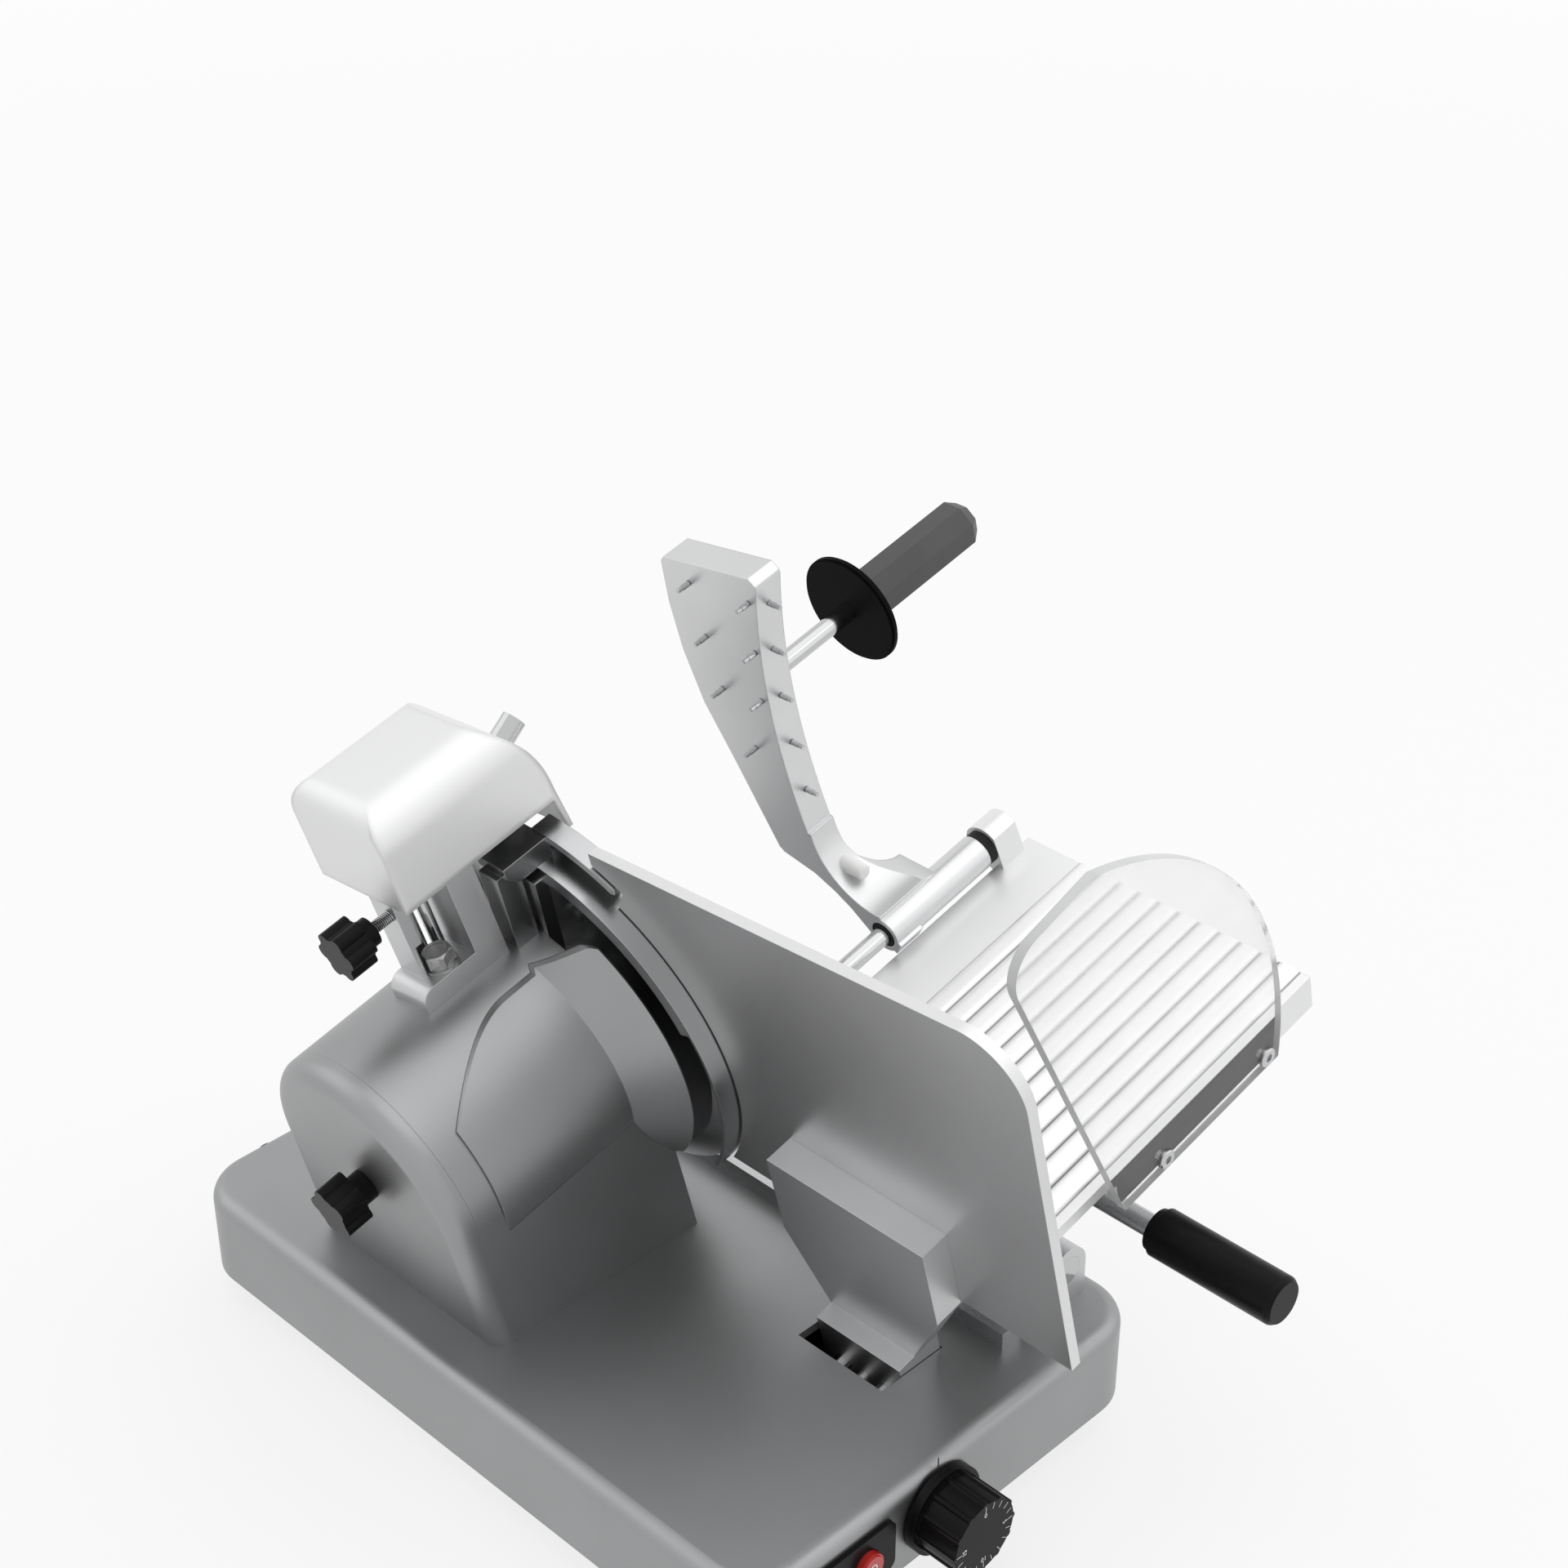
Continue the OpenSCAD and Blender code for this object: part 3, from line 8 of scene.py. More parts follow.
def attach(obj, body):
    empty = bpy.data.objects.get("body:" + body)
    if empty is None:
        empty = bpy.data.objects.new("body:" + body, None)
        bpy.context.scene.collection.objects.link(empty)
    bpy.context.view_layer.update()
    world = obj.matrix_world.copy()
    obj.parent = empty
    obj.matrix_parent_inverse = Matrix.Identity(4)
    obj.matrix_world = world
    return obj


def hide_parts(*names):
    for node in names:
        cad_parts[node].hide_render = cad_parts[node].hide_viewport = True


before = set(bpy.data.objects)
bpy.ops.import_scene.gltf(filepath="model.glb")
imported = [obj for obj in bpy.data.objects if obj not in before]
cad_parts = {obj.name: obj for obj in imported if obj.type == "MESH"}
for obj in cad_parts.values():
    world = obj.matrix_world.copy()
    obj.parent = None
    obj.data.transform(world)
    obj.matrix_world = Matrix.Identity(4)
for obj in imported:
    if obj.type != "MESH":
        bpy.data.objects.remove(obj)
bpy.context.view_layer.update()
scene = bpy.context.scene

# The blade's own frame: n along the shaft, t up the blade, leaning back from the upright.
CENTRE = Vector((0.0424, -0.1215, 0.0))
AXIS_Z = 0.215
TILT = math.radians(14)
TURN = math.radians(8)
ALONG_N = Vector((math.cos(TILT), 0, math.sin(TILT)))
ALONG_Y = Vector((0, 1, 0))
ALONG_T = Vector((-math.sin(TILT), 0, math.cos(TILT)))
ORIGIN = Vector((0, 0, AXIS_Z)) - CENTRE


def tilted(n, y, t):
    """A point of the blade's frame, given in millimetres, in the part's frame."""
    return ORIGIN + (ALONG_N * n + ALONG_Y * y + ALONG_T * t) / 1000


def sharpened(n, s, r):
    """A point of the sharpener's frame, which is turned about the shaft."""
    cos, sin = math.cos(TURN), math.sin(TURN)
    return tilted(n, s * cos + r * sin, r * cos - s * sin)


# Materials

# The part of a noise's range that is spread over the whole span
NOISE_LOW, NOISE_HIGH = 0.3, 0.7
# Scales of the slow patches in the colour, of the stones' grit and of the guard's haze
METAL_PATCH, PLASTIC_PATCH = 9, 30
GRIT_SCALE, HAZE_SCALE = 1400, 40
# The least roughness, and depths of the reliefs in metres
LEAST_ROUGH = 0.02
METAL_GRAIN = 0.00006
PLASTIC_GRAIN = 0.00008
STONE_GRIT = 0.0003
ACRYLIC_HAZE = 0.00004


class Nodes:
    """A material's node tree with a Principled shader and a few usual links."""

    def __init__(self, name):
        self.material = bpy.data.materials.new(name)
        self.material.use_nodes = True
        self.tree = self.material.node_tree
        self.shader = self.tree.nodes["Principled BSDF"]
        self.place = self.tree.nodes.new("ShaderNodeTexCoord").outputs["Object"]

    def new(self, kind, **inputs):
        node = self.tree.nodes.new("ShaderNode" + kind)
        for key, value in inputs.items():
            node.inputs[key.replace("_", " ")].default_value = value
        return node

    def link(self, a, b):
        self.tree.links.new(a, b)

    def feed(self, output, socket):
        """Link an output to one of the shader's inputs."""
        self.link(output, self.shader.inputs[socket])

    def fix(self, socket, value):
        """Set one of the shader's inputs to a value."""
        self.shader.inputs[socket].default_value = value

    def noise(self, scale, detail=3.0, stretch=(1, 1, 1), turn=(0, 0, 0), roughness=0.55):
        mapping = self.new("Mapping")
        mapping.inputs["Scale"].default_value = stretch
        mapping.inputs["Rotation"].default_value = turn
        self.link(self.place, mapping.inputs["Vector"])
        node = self.new("TexNoise", Scale=scale, Detail=detail, Roughness=roughness)
        self.link(mapping.outputs["Vector"], node.inputs["Vector"])
        return node.outputs["Fac"]

    def span(self, fac, low, high):
        """A noise as a number between two values."""
        node = self.new("MapRange")
        node.inputs["To Min"].default_value = low
        node.inputs["To Max"].default_value = high
        node.inputs["From Min"].default_value = NOISE_LOW
        node.inputs["From Max"].default_value = NOISE_HIGH
        self.link(fac, node.inputs["Value"])
        return node.outputs["Result"]

    def tint(self, fac, low, high):
        """A noise as a colour between two colours."""
        node = self.new("ValToRGB")
        node.color_ramp.elements[0].position = NOISE_LOW
        node.color_ramp.elements[1].position = NOISE_HIGH
        node.color_ramp.elements[0].color = (*low, 1)
        node.color_ramp.elements[1].color = (*high, 1)
        self.link(fac, node.inputs["Fac"])
        return node.outputs["Color"]

    def relief(self, height, strength, distance, edge=0.0):
        """A noise as relief, on edges rounded by the given radius."""
        node = self.new("Bump", Strength=strength, Distance=distance)
        self.link(height, node.inputs["Height"])
        if edge:
            bevel = self.new("Bevel", Radius=edge)
            bevel.samples = 4
            self.link(bevel.outputs["Normal"], node.inputs["Normal"])
        self.feed(node.outputs["Normal"], "Normal")

    def skin(self, colour, vary, slow, rough, spread, fine):
        """Slow patches in the colour and fine grain in the roughness."""
        self.feed(self.tint(slow, shade(colour, 1 - vary), shade(colour, 1 + vary)), "Base Color")
        self.feed(self.span(fine, max(LEAST_ROUGH, rough - spread), rough + spread), "Roughness")


def shade(colour, by):
    """A colour made darker or brighter."""
    return tuple(max(0.0, min(1.0, c * by)) for c in colour)


def metal(name, colour, rough, grain, stretch=(1, 1, 1), turn=(0, 0, 0), *,
          spread, depth, vary=0.05, edge=0.0006, metallic=1.0):
    """Bare or coated metal, cast or brushed."""
    m = Nodes(name)
    fine = m.noise(grain, 4, stretch, turn)
    slow = m.noise(METAL_PATCH, 2)
    m.skin(colour, vary, slow, rough, spread, fine)
    m.fix("Metallic", metallic)
    m.relief(fine, depth, METAL_GRAIN, edge)
    return m.material


def plastic(name, colour, rough, grain=1500, *,
            spread=0.06, depth=0.15, vary=0.08, edge=0.0006, coat=0.0, gloss=0.5):
    """Moulded plastic or rubber with a fine spark-eroded skin."""
    m = Nodes(name)
    fine = m.noise(grain, 2)
    slow = m.noise(PLASTIC_PATCH, 2)
    m.skin(colour, vary, slow, rough, spread, fine)
    m.fix("Coat Weight", coat)
    m.fix("Specular IOR Level", gloss)
    m.relief(fine, depth, PLASTIC_GRAIN, edge)
    return m.material


def stone(name, colour):
    """Bonded grit: speckled, rough and without gloss."""
    m = Nodes(name)
    grit = m.noise(GRIT_SCALE, 2)
    m.feed(m.tint(grit, shade(colour, 0.55), shade(colour, 1.35)), "Base Color")
    m.fix("Roughness", 0.9)
    m.relief(grit, strength=0.6, distance=STONE_GRIT)
    return m.material


def clear(name):
    """Clear acrylic sheet with faint scratches and a soft edge."""
    m = Nodes(name)
    haze = m.noise(HAZE_SCALE, 3)
    m.feed(m.tint(haze, (0.955, 0.957, 0.957), (0.985, 0.986, 0.986)), "Base Color")
    m.feed(m.span(haze, 0.06, 0.10), "Roughness")
    m.fix("Transmission Weight", 0.82)
    m.fix("IOR", 1.1)
    m.relief(haze, strength=0.02, distance=ACRYLIC_HAZE)
    return m.material


# Brushing: its scale, its turn with the blade's frame, and its stretch
BRUSH = 280
ALONG_PLATE = (0, TILT, 0)
ACROSS = (1, 12, 12)
ALONG_LENGTH = (12, 1, 12)
ALONG_HEIGHT = (12, 12, 1)
ALUMINIUM = metal("cast_aluminium", (0.58, 0.584, 0.59), 0.40, 3200, spread=0.05, depth=0.25)
BODY = metal("satin_body", (0.34, 0.343, 0.348), 0.42, 4200, spread=0.04, depth=0.15)
SILVER = metal("silver_paint", (0.78, 0.782, 0.785), 0.44, 5200,
               spread=0.04, depth=0.12, vary=0.01, edge=0.006, metallic=0.7)
BRUSHED_ARM = metal("brushed_pusher", (0.64, 0.643, 0.647), 0.36, BRUSH, ALONG_HEIGHT, ALONG_PLATE,
                    spread=0.04, depth=0.06, vary=0.04, edge=0.0012)
GAUGE = metal("gauge_grey", (0.56, 0.562, 0.565), 0.36, BRUSH, ALONG_LENGTH, ALONG_PLATE,
              spread=0.03, depth=0.04)
# Painted highlight: the gauge plate's edge skin is a brighter grey than the plate's faces
RIM_HIGHLIGHT = metal("painted_highlight_rim", (0.74, 0.742, 0.745), 0.40, BRUSH, ALONG_LENGTH, ALONG_PLATE,
            spread=0.03, depth=0.03, vary=0.01, edge=0.0, metallic=0.85)
TRAY = metal("tray_bright", (0.82, 0.822, 0.825), 0.42, BRUSH, ACROSS, ALONG_PLATE,
             spread=0.04, depth=0.04, vary=0.02, metallic=0.6)
POLISHED = metal("polished_steel", (0.44, 0.443, 0.447), 0.24, 2400,
                 spread=0.03, depth=0.04, vary=0.03)
STEEL = metal("machined_steel", (0.54, 0.544, 0.55), 0.28, 2600,
              spread=0.04, depth=0.06, edge=0.0003)
ZINC = metal("zinc_plate", (0.40, 0.402, 0.40), 0.40, 2600,
             spread=0.04, depth=0.06, edge=0.0004)
PIN = metal("pointed_steel", (0.50, 0.504, 0.51), 0.24, 2600,
            spread=0.03, depth=0.02, edge=0.0)
CHROME = metal("chrome_rod", (0.52, 0.523, 0.527), 0.10, 1500,
               spread=0.02, depth=0.01, vary=0.02, edge=0.0003)
BLACK = plastic("black_plastic", (0.006, 0.006, 0.0065), 0.30, 4000,
                spread=0.04, depth=0.08, gloss=0.10)
SATIN_BLACK = plastic("satin_black", (0.005, 0.005, 0.0052), 0.5, 4000,
                      spread=0.04, depth=0.08, gloss=0.03)
GRIP = plastic("grey_plastic", (0.085, 0.086, 0.086), 0.50, 3000, depth=0.2, gloss=0.3)
NYLON = plastic("white_nylon", (0.86, 0.86, 0.85), 0.5, edge=0.0)
RUBBER = plastic("black_rubber", (0.010, 0.010, 0.010), 0.6, 3000, depth=0.2, gloss=0.2)
MOTOR = plastic("motor_paint", (0.10, 0.11, 0.13), 0.45)
ACRYLIC = clear("clear_acrylic")
# Painted shade: the clear guard's edge gets an opaque grey skin for the shade seen through its
# thickness
EDGE_SHADE = plastic("acrylic_edge_shade", (0.60, 0.605, 0.61), 0.35, 2000,
               spread=0.03, depth=0.02, vary=0.05, edge=0.0)
GREEN = plastic("green_plastic", (0.06, 0.32, 0.09), 0.22, coat=0.3)
RED = plastic("red_plastic", (0.52, 0.025, 0.02), 0.22, coat=0.3)
FIBRE = plastic("fibre", (0.34, 0.075, 0.035), 0.8, 600, depth=0.5, vary=0.25)
ABRASIVE = stone("abrasive", (0.36, 0.35, 0.34))

DRESS = {
    "base_casting": BODY, "base_plate": STEEL, "rubber_feet": RUBBER, "drive_housing": BODY,
    "rear_cover": BODY, "motor": MOTOR, "motor_shaft": STEEL, "motor_pulley": STEEL,
    "drive_belt": RUBBER, "blade_pulley": STEEL, "shaft_bearings": STEEL, "blade_shaft": STEEL,
    "blade": POLISHED, "blade_screws": STEEL, "blade_cover": POLISHED, "cover_tie_rod": STEEL,
    "cover_knob": BLACK, "ring_guard": POLISHED, "ring_screws": STEEL, "slice_deflector": BODY,
    "gauge_plate": GAUGE, "gauge_support": ALUMINIUM, "gauge_guides": CHROME, "dial_shaft": STEEL,
    "dial_knob": BLACK, "switch_panel": BLACK, "on_button": GREEN, "off_button": RED,
    "cable_gland": BLACK, "carriage_rail": CHROME, "rail_blocks": ALUMINIUM, "support_bar": STEEL,
    "carriage_slider": ALUMINIUM, "slider_shoe": NYLON, "carriage_arm": ALUMINIUM,
    "carriage_tray": TRAY, "slide_rod": CHROME, "rod_stops": RUBBER, "hand_guard": ACRYLIC,
    "guard_screws": STEEL, "carriage_handle": STEEL, "carriage_grip": BLACK,
    "tray_lock_knob": BLACK, "pusher_bush": RUBBER, "pusher_arm": BRUSHED_ARM,
    "pusher_spikes": PIN, "handle_rod": CHROME, "hand_shield": SATIN_BLACK, "handle_grip": GRIP,
    "sharpener_bracket": ALUMINIUM, "sharpener_bolt": ZINC, "bolt_washers": ZINC,
    "sharpener_posts": CHROME, "fibre_pad": FIBRE, "sharpener_head": ALUMINIUM,
    "sharpener_cover": SILVER, "star_knob": BLACK, "push_pin": CHROME, "grinding_stone": ABRASIVE,
    "burr_stone": ABRASIVE,
}
for name, material in DRESS.items():
    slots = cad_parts[name].data.materials
    slots.clear()
    slots.append(material)


# Pieces that add detail to the solids

# Points nearer than this are one point: on the solids' seams, and in a new piece
WELD = 1e-6
SAME = 1e-7


def welded_copy(node):
    """The node's mesh with its seams welded."""
    mesh = bmesh.new()
    mesh.from_mesh(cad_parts[node].data)
    bmesh.ops.remove_doubles(mesh, verts=mesh.verts, dist=WELD)
    return mesh


def taken(mesh):
    """The points and faces of a mesh, which is then freed; sorted, so each run gives one order."""
    mesh.verts.index_update()
    verts = [v.co.copy() for v in mesh.verts]
    faces = sorted([v.index for v in f.verts] for f in mesh.faces)
    mesh.free()
    return verts, faces


def piece(name, verts, faces, body, slot, material, smooth=None, replaces=None):
    """A mesh object that rides on a body; edges flatter than smooth degrees are shaded round."""
    mesh = bpy.data.meshes.new(name)
    mesh.from_pydata([tuple(v) for v in verts], [], faces)
    turned = bmesh.new()
    turned.from_mesh(mesh)
    bmesh.ops.remove_doubles(turned, verts=turned.verts, dist=SAME)
    bmesh.ops.recalc_face_normals(turned, faces=turned.faces)
    turned.to_mesh(mesh)
    turned.free()
    mesh.materials.append(material)
    if smooth is not None:
        mesh.shade_smooth()
        mesh.set_sharp_from_angle(angle=math.radians(smooth))
    obj = bpy.data.objects.new(name, mesh)
    scene.collection.objects.link(obj)
    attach(obj, body)
    if replaces:
        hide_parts(replaces)
    return obj


def smooth_copy(node, body, slot, material, angle, move=None):
    """The node's own mesh with its seams welded and its curves shaded round; move shifts points."""
    mesh = welded_copy(node)
    if move:
        for v in mesh.verts:
            v.co += move(v.co)
    piece(node + "_shell", *taken(mesh), body, slot, material, angle, replaces=node)


def frame_of(axis):
    """An axis at length one, and two directions square to it."""
    axis = axis.normalized()
    side = axis.orthogonal().normalized()
    return axis, side, axis.cross(side)


def polar(at, axes, r, a, h):
    """A point at a radius and an angle round an axis, and at a height up it."""
    axis, side, other = axes
    return at + axis * h + (side * math.cos(a) + other * math.sin(a)) * r


def band(k, count):
    """The faces between a tube's ring k and the ring before it."""
    low, high = (k - 1) * count, k * count
    sides = [(i, (i + 1) % count) for i in range(count)]
    return [[low + i, low + j, high + j, high + i] for i, j in sides]


def ends(rows, count):
    """The two faces that close a tube of so many rings."""
    return [list(range(count)), list(range((rows - 1) * count, rows * count))]


def rings(at, axis, profile, count=48, shape=None):
    """A lathe: (radius, height) pairs in metres up an axis; shape bends the radius by angle."""
    axes = frame_of(axis)
    verts, faces = [], []
    for k, (r, h) in enumerate(profile):
        for i in range(count):
            a = i * math.tau / count
            wide, high = shape(r, h, a) if shape else (r, h)
            verts.append(polar(at, axes, wide, a, high))
        if k:
            faces += band(k, count)
    return verts, faces + ends(len(profile), count)


def hexagon(flat, a):
    """The radius of a hexagon of the given half width at an angle."""
    return flat / math.cos((a + math.pi / 6) % (math.pi / 3) - math.pi / 6)


def hex_shape(flat, round_r):
    """A bolt's head: six-sided outside round_r, with its corners chamfered down."""
    def bend(r, h, a):
        if r <= round_r:
            return r, h
        corner = hexagon(flat, a)
        return corner, h - max(0.0, corner - round_r)
    return bend


def thread(at, axis, radius, length, pitch, depth, count=40, per_turn=10):
    """A plain screw thread as one rippled tube."""
    axes = frame_of(axis)
    rows = int(length / pitch * per_turn)
    verts, faces = [], []
    for k in range(rows + 1):
        z = length * k / rows
        for i in range(count):
            a = i * math.tau / count
            wave = abs(((z / pitch - i / count) % 1.0) * 2 - 1)
            verts.append(polar(at, axes, radius - depth + depth * wave, a, z))
        if k:
            faces += band(k, count)
    return verts, faces + ends(rows + 1, count)


# A screw's chamfer as a share of its radius, and its recess's floor as a share of its height
SCREW_CHAMFER, SCREW_FLOOR = 0.12, 0.35


def socket_screw(at, axis, radius, height, socket, count=48):
    """A cap screw's head with a six-sided recess."""
    axes = frame_of(axis)
    verts = []

    def ring(radii, h):
        for i in range(count):
            a = i * math.tau / count
            verts.append(polar(at, axes, radii(a), a, h))

    def recess(a):
        return hexagon(socket, a)

    edge = radius * SCREW_CHAMFER
    ring(lambda a: radius, 0)
    ring(lambda a: radius, height - edge)
    ring(lambda a: radius - edge, height)
    ring(recess, height)
    ring(recess, height * SCREW_FLOOR)
    faces = [face for k in range(1, 5) for face in band(k, count)]
    return verts, faces + ends(5, count)


def joined(parts):
    """Several (points, faces) pairs as one."""
    verts, faces = [], []
    for v, f in parts:
        start = len(verts)
        verts += v
        faces += [[i + start for i in face] for face in f]
    return verts, faces


# How far figures stand out, as a share of their size
FIGURE_RAISE = 0.03


def lettering(name, words, size, at, right, up, body, slot, material):
    """Plain raised figures: words is a list of (text, x, y, turn) in the plane of right and up."""
    out = right.cross(up)
    parts = []
    for text, x, y, turn in words:
        curve = bpy.data.curves.new("figures", "FONT")
        curve.body = text
        curve.size = size
        curve.extrude = size * FIGURE_RAISE
        curve.align_x = "CENTER"
        curve.align_y = "CENTER"
        holder = bpy.data.objects.new("figures", curve)
        scene.collection.objects.link(holder)
        mesh = bpy.data.meshes.new_from_object(holder)
        cos, sin = math.cos(turn), math.sin(turn)
        verts = []
        for v in mesh.vertices:
            px, py = x + v.co.x * cos - v.co.y * sin, y + v.co.x * sin + v.co.y * cos
            verts.append(at + right * px + up * py + out * v.co.z)
        parts.append((verts, [list(f.vertices) for f in mesh.polygons]))
        bpy.data.objects.remove(holder)
        bpy.data.curves.remove(curve)
        bpy.data.meshes.remove(mesh)
    verts, faces = joined(parts)
    piece(name, verts, faces, body, slot, material)


# How far an edge's skin stands out and how thick it is, in metres; faces that look along
# the plate's direction by more than this cosine are the plate's two sides
RIM_LIFT = 0.00012
RIM_SKIN = 0.0001
RIM_SIDES = 0.5


# The skin's own material paints the edge: a painted highlight on the gauge plate, painted shade on
# the guard
def rim_of(node, name, along, body, slot, material):
    """A thin skin on the faces round a plate's edge; along is the plate's own direction."""
    mesh = welded_copy(node)
    flat = [f for f in mesh.faces if abs(f.normal.dot(along)) > RIM_SIDES]
    bmesh.ops.delete(mesh, geom=flat, context="FACES")
    mesh.normal_update()
    for v, normal in [(v, v.normal.copy()) for v in mesh.verts]:
        v.co += normal * RIM_LIFT
    bmesh.ops.solidify(mesh, geom=mesh.faces[:], thickness=RIM_SKIN)
    piece(name, *taken(mesh), body, slot, material, smooth=40)


# Ribs: points across each, how deep the slab sinks into the tray in millimetres, and the powers
# that keep a rib flat on top and round at its sides
RIB_STEPS, RIB_UNDER = 16, 0.05
RIB_FLAT, RIB_ROUND = 5, 0.6


def fluted(name, n0, n1, y_from, y_to, pitch, low, high, body, slot, material):
    """A ribbed slab on the tray, in millimetres: round ribs with narrow grooves between them."""
    steps = RIB_STEPS
    count = round((y_from - y_to) / pitch)
    verts, faces, depths = [], [], []
    for k in range(count * steps + 1):
        u = (k % steps) / steps - 0.5
        rise = max(0.0, 1 - (2 * abs(u)) ** RIB_FLAT) ** RIB_ROUND
        y = y_from - k * pitch / steps
        for n in (n0, n1):
            verts.append(tilted(n, y, low + (high - low) * rise))
            depths.append(1 - rise)
        if k:
            j = 2 * k
            faces.append([j - 2, j, j + 1, j - 1])
    last, foot = 2 * count * steps, len(verts)
    for y in (y_from, y_from - count * pitch):
        for n in (n0, n1):
            verts.append(tilted(n, y, low - RIB_UNDER))
            depths.append(1)
    faces += [[*range(0, last + 2, 2), foot + 2, foot],
              [*range(1, last + 2, 2), foot + 3, foot + 1],
              [0, 1, foot + 1, foot],
              [last, last + 1, foot + 3, foot + 2],
              [foot, foot + 1, foot + 3, foot + 2]]
    obj = piece(name, verts, faces, body, slot, material, smooth=60)
    # Each point keeps its depth down its groove, by which the ribs' material paints shade in the
    # grooves
    groove_shade = obj.data.attributes.new("groove_shade", "FLOAT", "POINT")
    groove_shade.data.foreach_set("value", depths)


def grooved(name, bright, shade_colour):
    """Brushed metal with painted shade that darkens it down in the grooves."""
    m = Nodes(name)
    fine = m.noise(BRUSH, 4, ACROSS, ALONG_PLATE)
    depth = m.new("Attribute")
    depth.attribute_name = "groove_shade"
    ramp = m.new("ValToRGB")
    ramp.color_ramp.elements[0].color = (*bright, 1)
    ramp.color_ramp.elements[1].color = (*shade_colour, 1)
    m.link(depth.outputs["Fac"], ramp.inputs["Fac"])
    m.feed(ramp.outputs["Color"], "Base Color")
    m.feed(m.span(fine, 0.34, 0.42), "Roughness")
    m.fix("Metallic", 0.85)
    m.relief(fine, strength=0.04, distance=METAL_GRAIN)
    return m.material


def islands(mesh):
    """The separate solids of a welded mesh, each as a list of vertices, in the mesh's own order."""
    left = set(mesh.verts)
    for start in mesh.verts:
        if start not in left:
            continue
        left.remove(start)
        found, todo = [], [start]
        while todo:
            vert = todo.pop()
            found.append(vert)
            for edge in vert.link_edges:
                other = edge.other_vert(vert)
                if other in left:
                    left.remove(other)
                    todo.append(other)
        yield found


# Points of a tooth below this height, in metres, are its foot and stay
PIN_FOOT = 0.001


def pin_points(node, name, length, neck, tip, thick, body, slot, material):
    """The pusher's teeth as straight pins with short points, on the solids' own places."""
    mesh = welded_copy(node)
    for found in list(islands(mesh)):
        middle = sum((v.co for v in found), Vector()) / len(found)
        reach = [max(abs((v.co - middle).dot(d)) for v in found) for d in (ALONG_N, ALONG_Y)]
        out = -ALONG_N if reach[0] > reach[1] else -ALONG_Y
        foot = max(v.co.dot(out) for v in found) - length
        for v in found:
            high = v.co.dot(out) - foot
            if high < 0:
                continue
            radial = v.co - middle
            radial -= out * radial.dot(out)
            new = high if high < PIN_FOOT else neck if high < length / 2 else tip
            wide = thick if high < length / 2 else 1.0
            v.co = middle + radial * wide + out * (foot + new - middle.dot(out))
    piece(name, *taken(mesh), body, slot, material, smooth=30, replaces=node)


WHITE_PRINT = plastic("white_print", (0.82, 0.82, 0.80), 0.55, edge=0.0)
# Painted shade: the ribs run from a pale colour on their tops to dark grey down in the grooves
SHADED_FLUTES = grooved("tray_flutes_painted_shade", (0.88, 0.88, 0.88), (0.22, 0.22, 0.22))
smooth_copy("sharpener_cover", "sharpener", "silver_paint", SILVER, 20)

# Teeth of the pusher: height of the solids' cones, the pins' neck and tip, and their share
# of the cones' width
SPIKE_LEN, PIN_NECK, PIN_TIP, PIN_THICK = 0.013, 0.0058, 0.0093, 0.8
pin_points("pusher_spikes", "spike_pins", SPIKE_LEN, PIN_NECK, PIN_TIP, PIN_THICK,
           "pusher", "plain_steel", PIN)

# The tray with the feet of its rod's lugs drawn in to its edge
LUG_FOOT, LUG_IN = tilted(0, -151, -10), Vector((0, 0.0195, 0))
LUG_NEAR = 0.0003


def lug_foot(at):
    """The shift of a point of the tray: the feet's own edges move, the rest stays."""
    off = at - LUG_FOOT
    far = max(abs(off.dot(ALONG_Y)), abs(off.dot(ALONG_T)))
    return LUG_IN if far < LUG_NEAR else Vector()


smooth_copy("carriage_tray", "carriage", "brushed_aluminium", TRAY, 30, lug_foot)

# Painted highlight on the gauge plate's edge, painted shade on the clear guard's grey edge, ribs of
# the tray with painted shade in their grooves
RIB_N0, RIB_N1 = 3.5, 257.5
RIB_Y0, RIB_Y1 = -167.45, -333.55
RIB_PITCH, RIB_LOW, RIB_HIGH = 15.1, -9.9, -8.4
rim_of("gauge_plate", "gauge_rim_highlight", ALONG_N, "gauge", "brushed_aluminium", RIM_HIGHLIGHT)
rim_of("hand_guard", "guard_edge_shade", ALONG_Y, "carriage", "clear_acrylic", EDGE_SHADE)
fluted("tray_ribs", RIB_N0, RIB_N1, RIB_Y0, RIB_Y1, RIB_PITCH, RIB_LOW, RIB_HIGH,
       "carriage", "brushed_aluminium", SHADED_FLUTES)

# Pale peg in the pusher's neck: a bar with round ends
PEG_AT = tilted(149, -94, 31)
PEG_R, PEG_ROUND, PEG_LEN = 0.0052, 0.002, 0.0232
PEG_FOOT, PEG_MIDDLE, PEG_SEAM = 0.0008, 0.0001, 0.0002
turns = [i * math.pi / 12 for i in range(7)]
arc = [(PEG_R - PEG_ROUND + PEG_ROUND * math.sin(a), PEG_ROUND * math.cos(a)) for a in turns]
peg = [(PEG_MIDDLE, PEG_FOOT - PEG_ROUND)]
peg += [(r, PEG_FOOT - h) for r, h in arc[1:]]
peg.append((PEG_R, PEG_LEN - PEG_SEAM))
peg += [(r, PEG_LEN + h) for r, h in reversed(arc)]
piece("neck_peg", *rings(PEG_AT, ALONG_Y, peg, 40), "pusher", "white_nylon", NYLON, smooth=40)

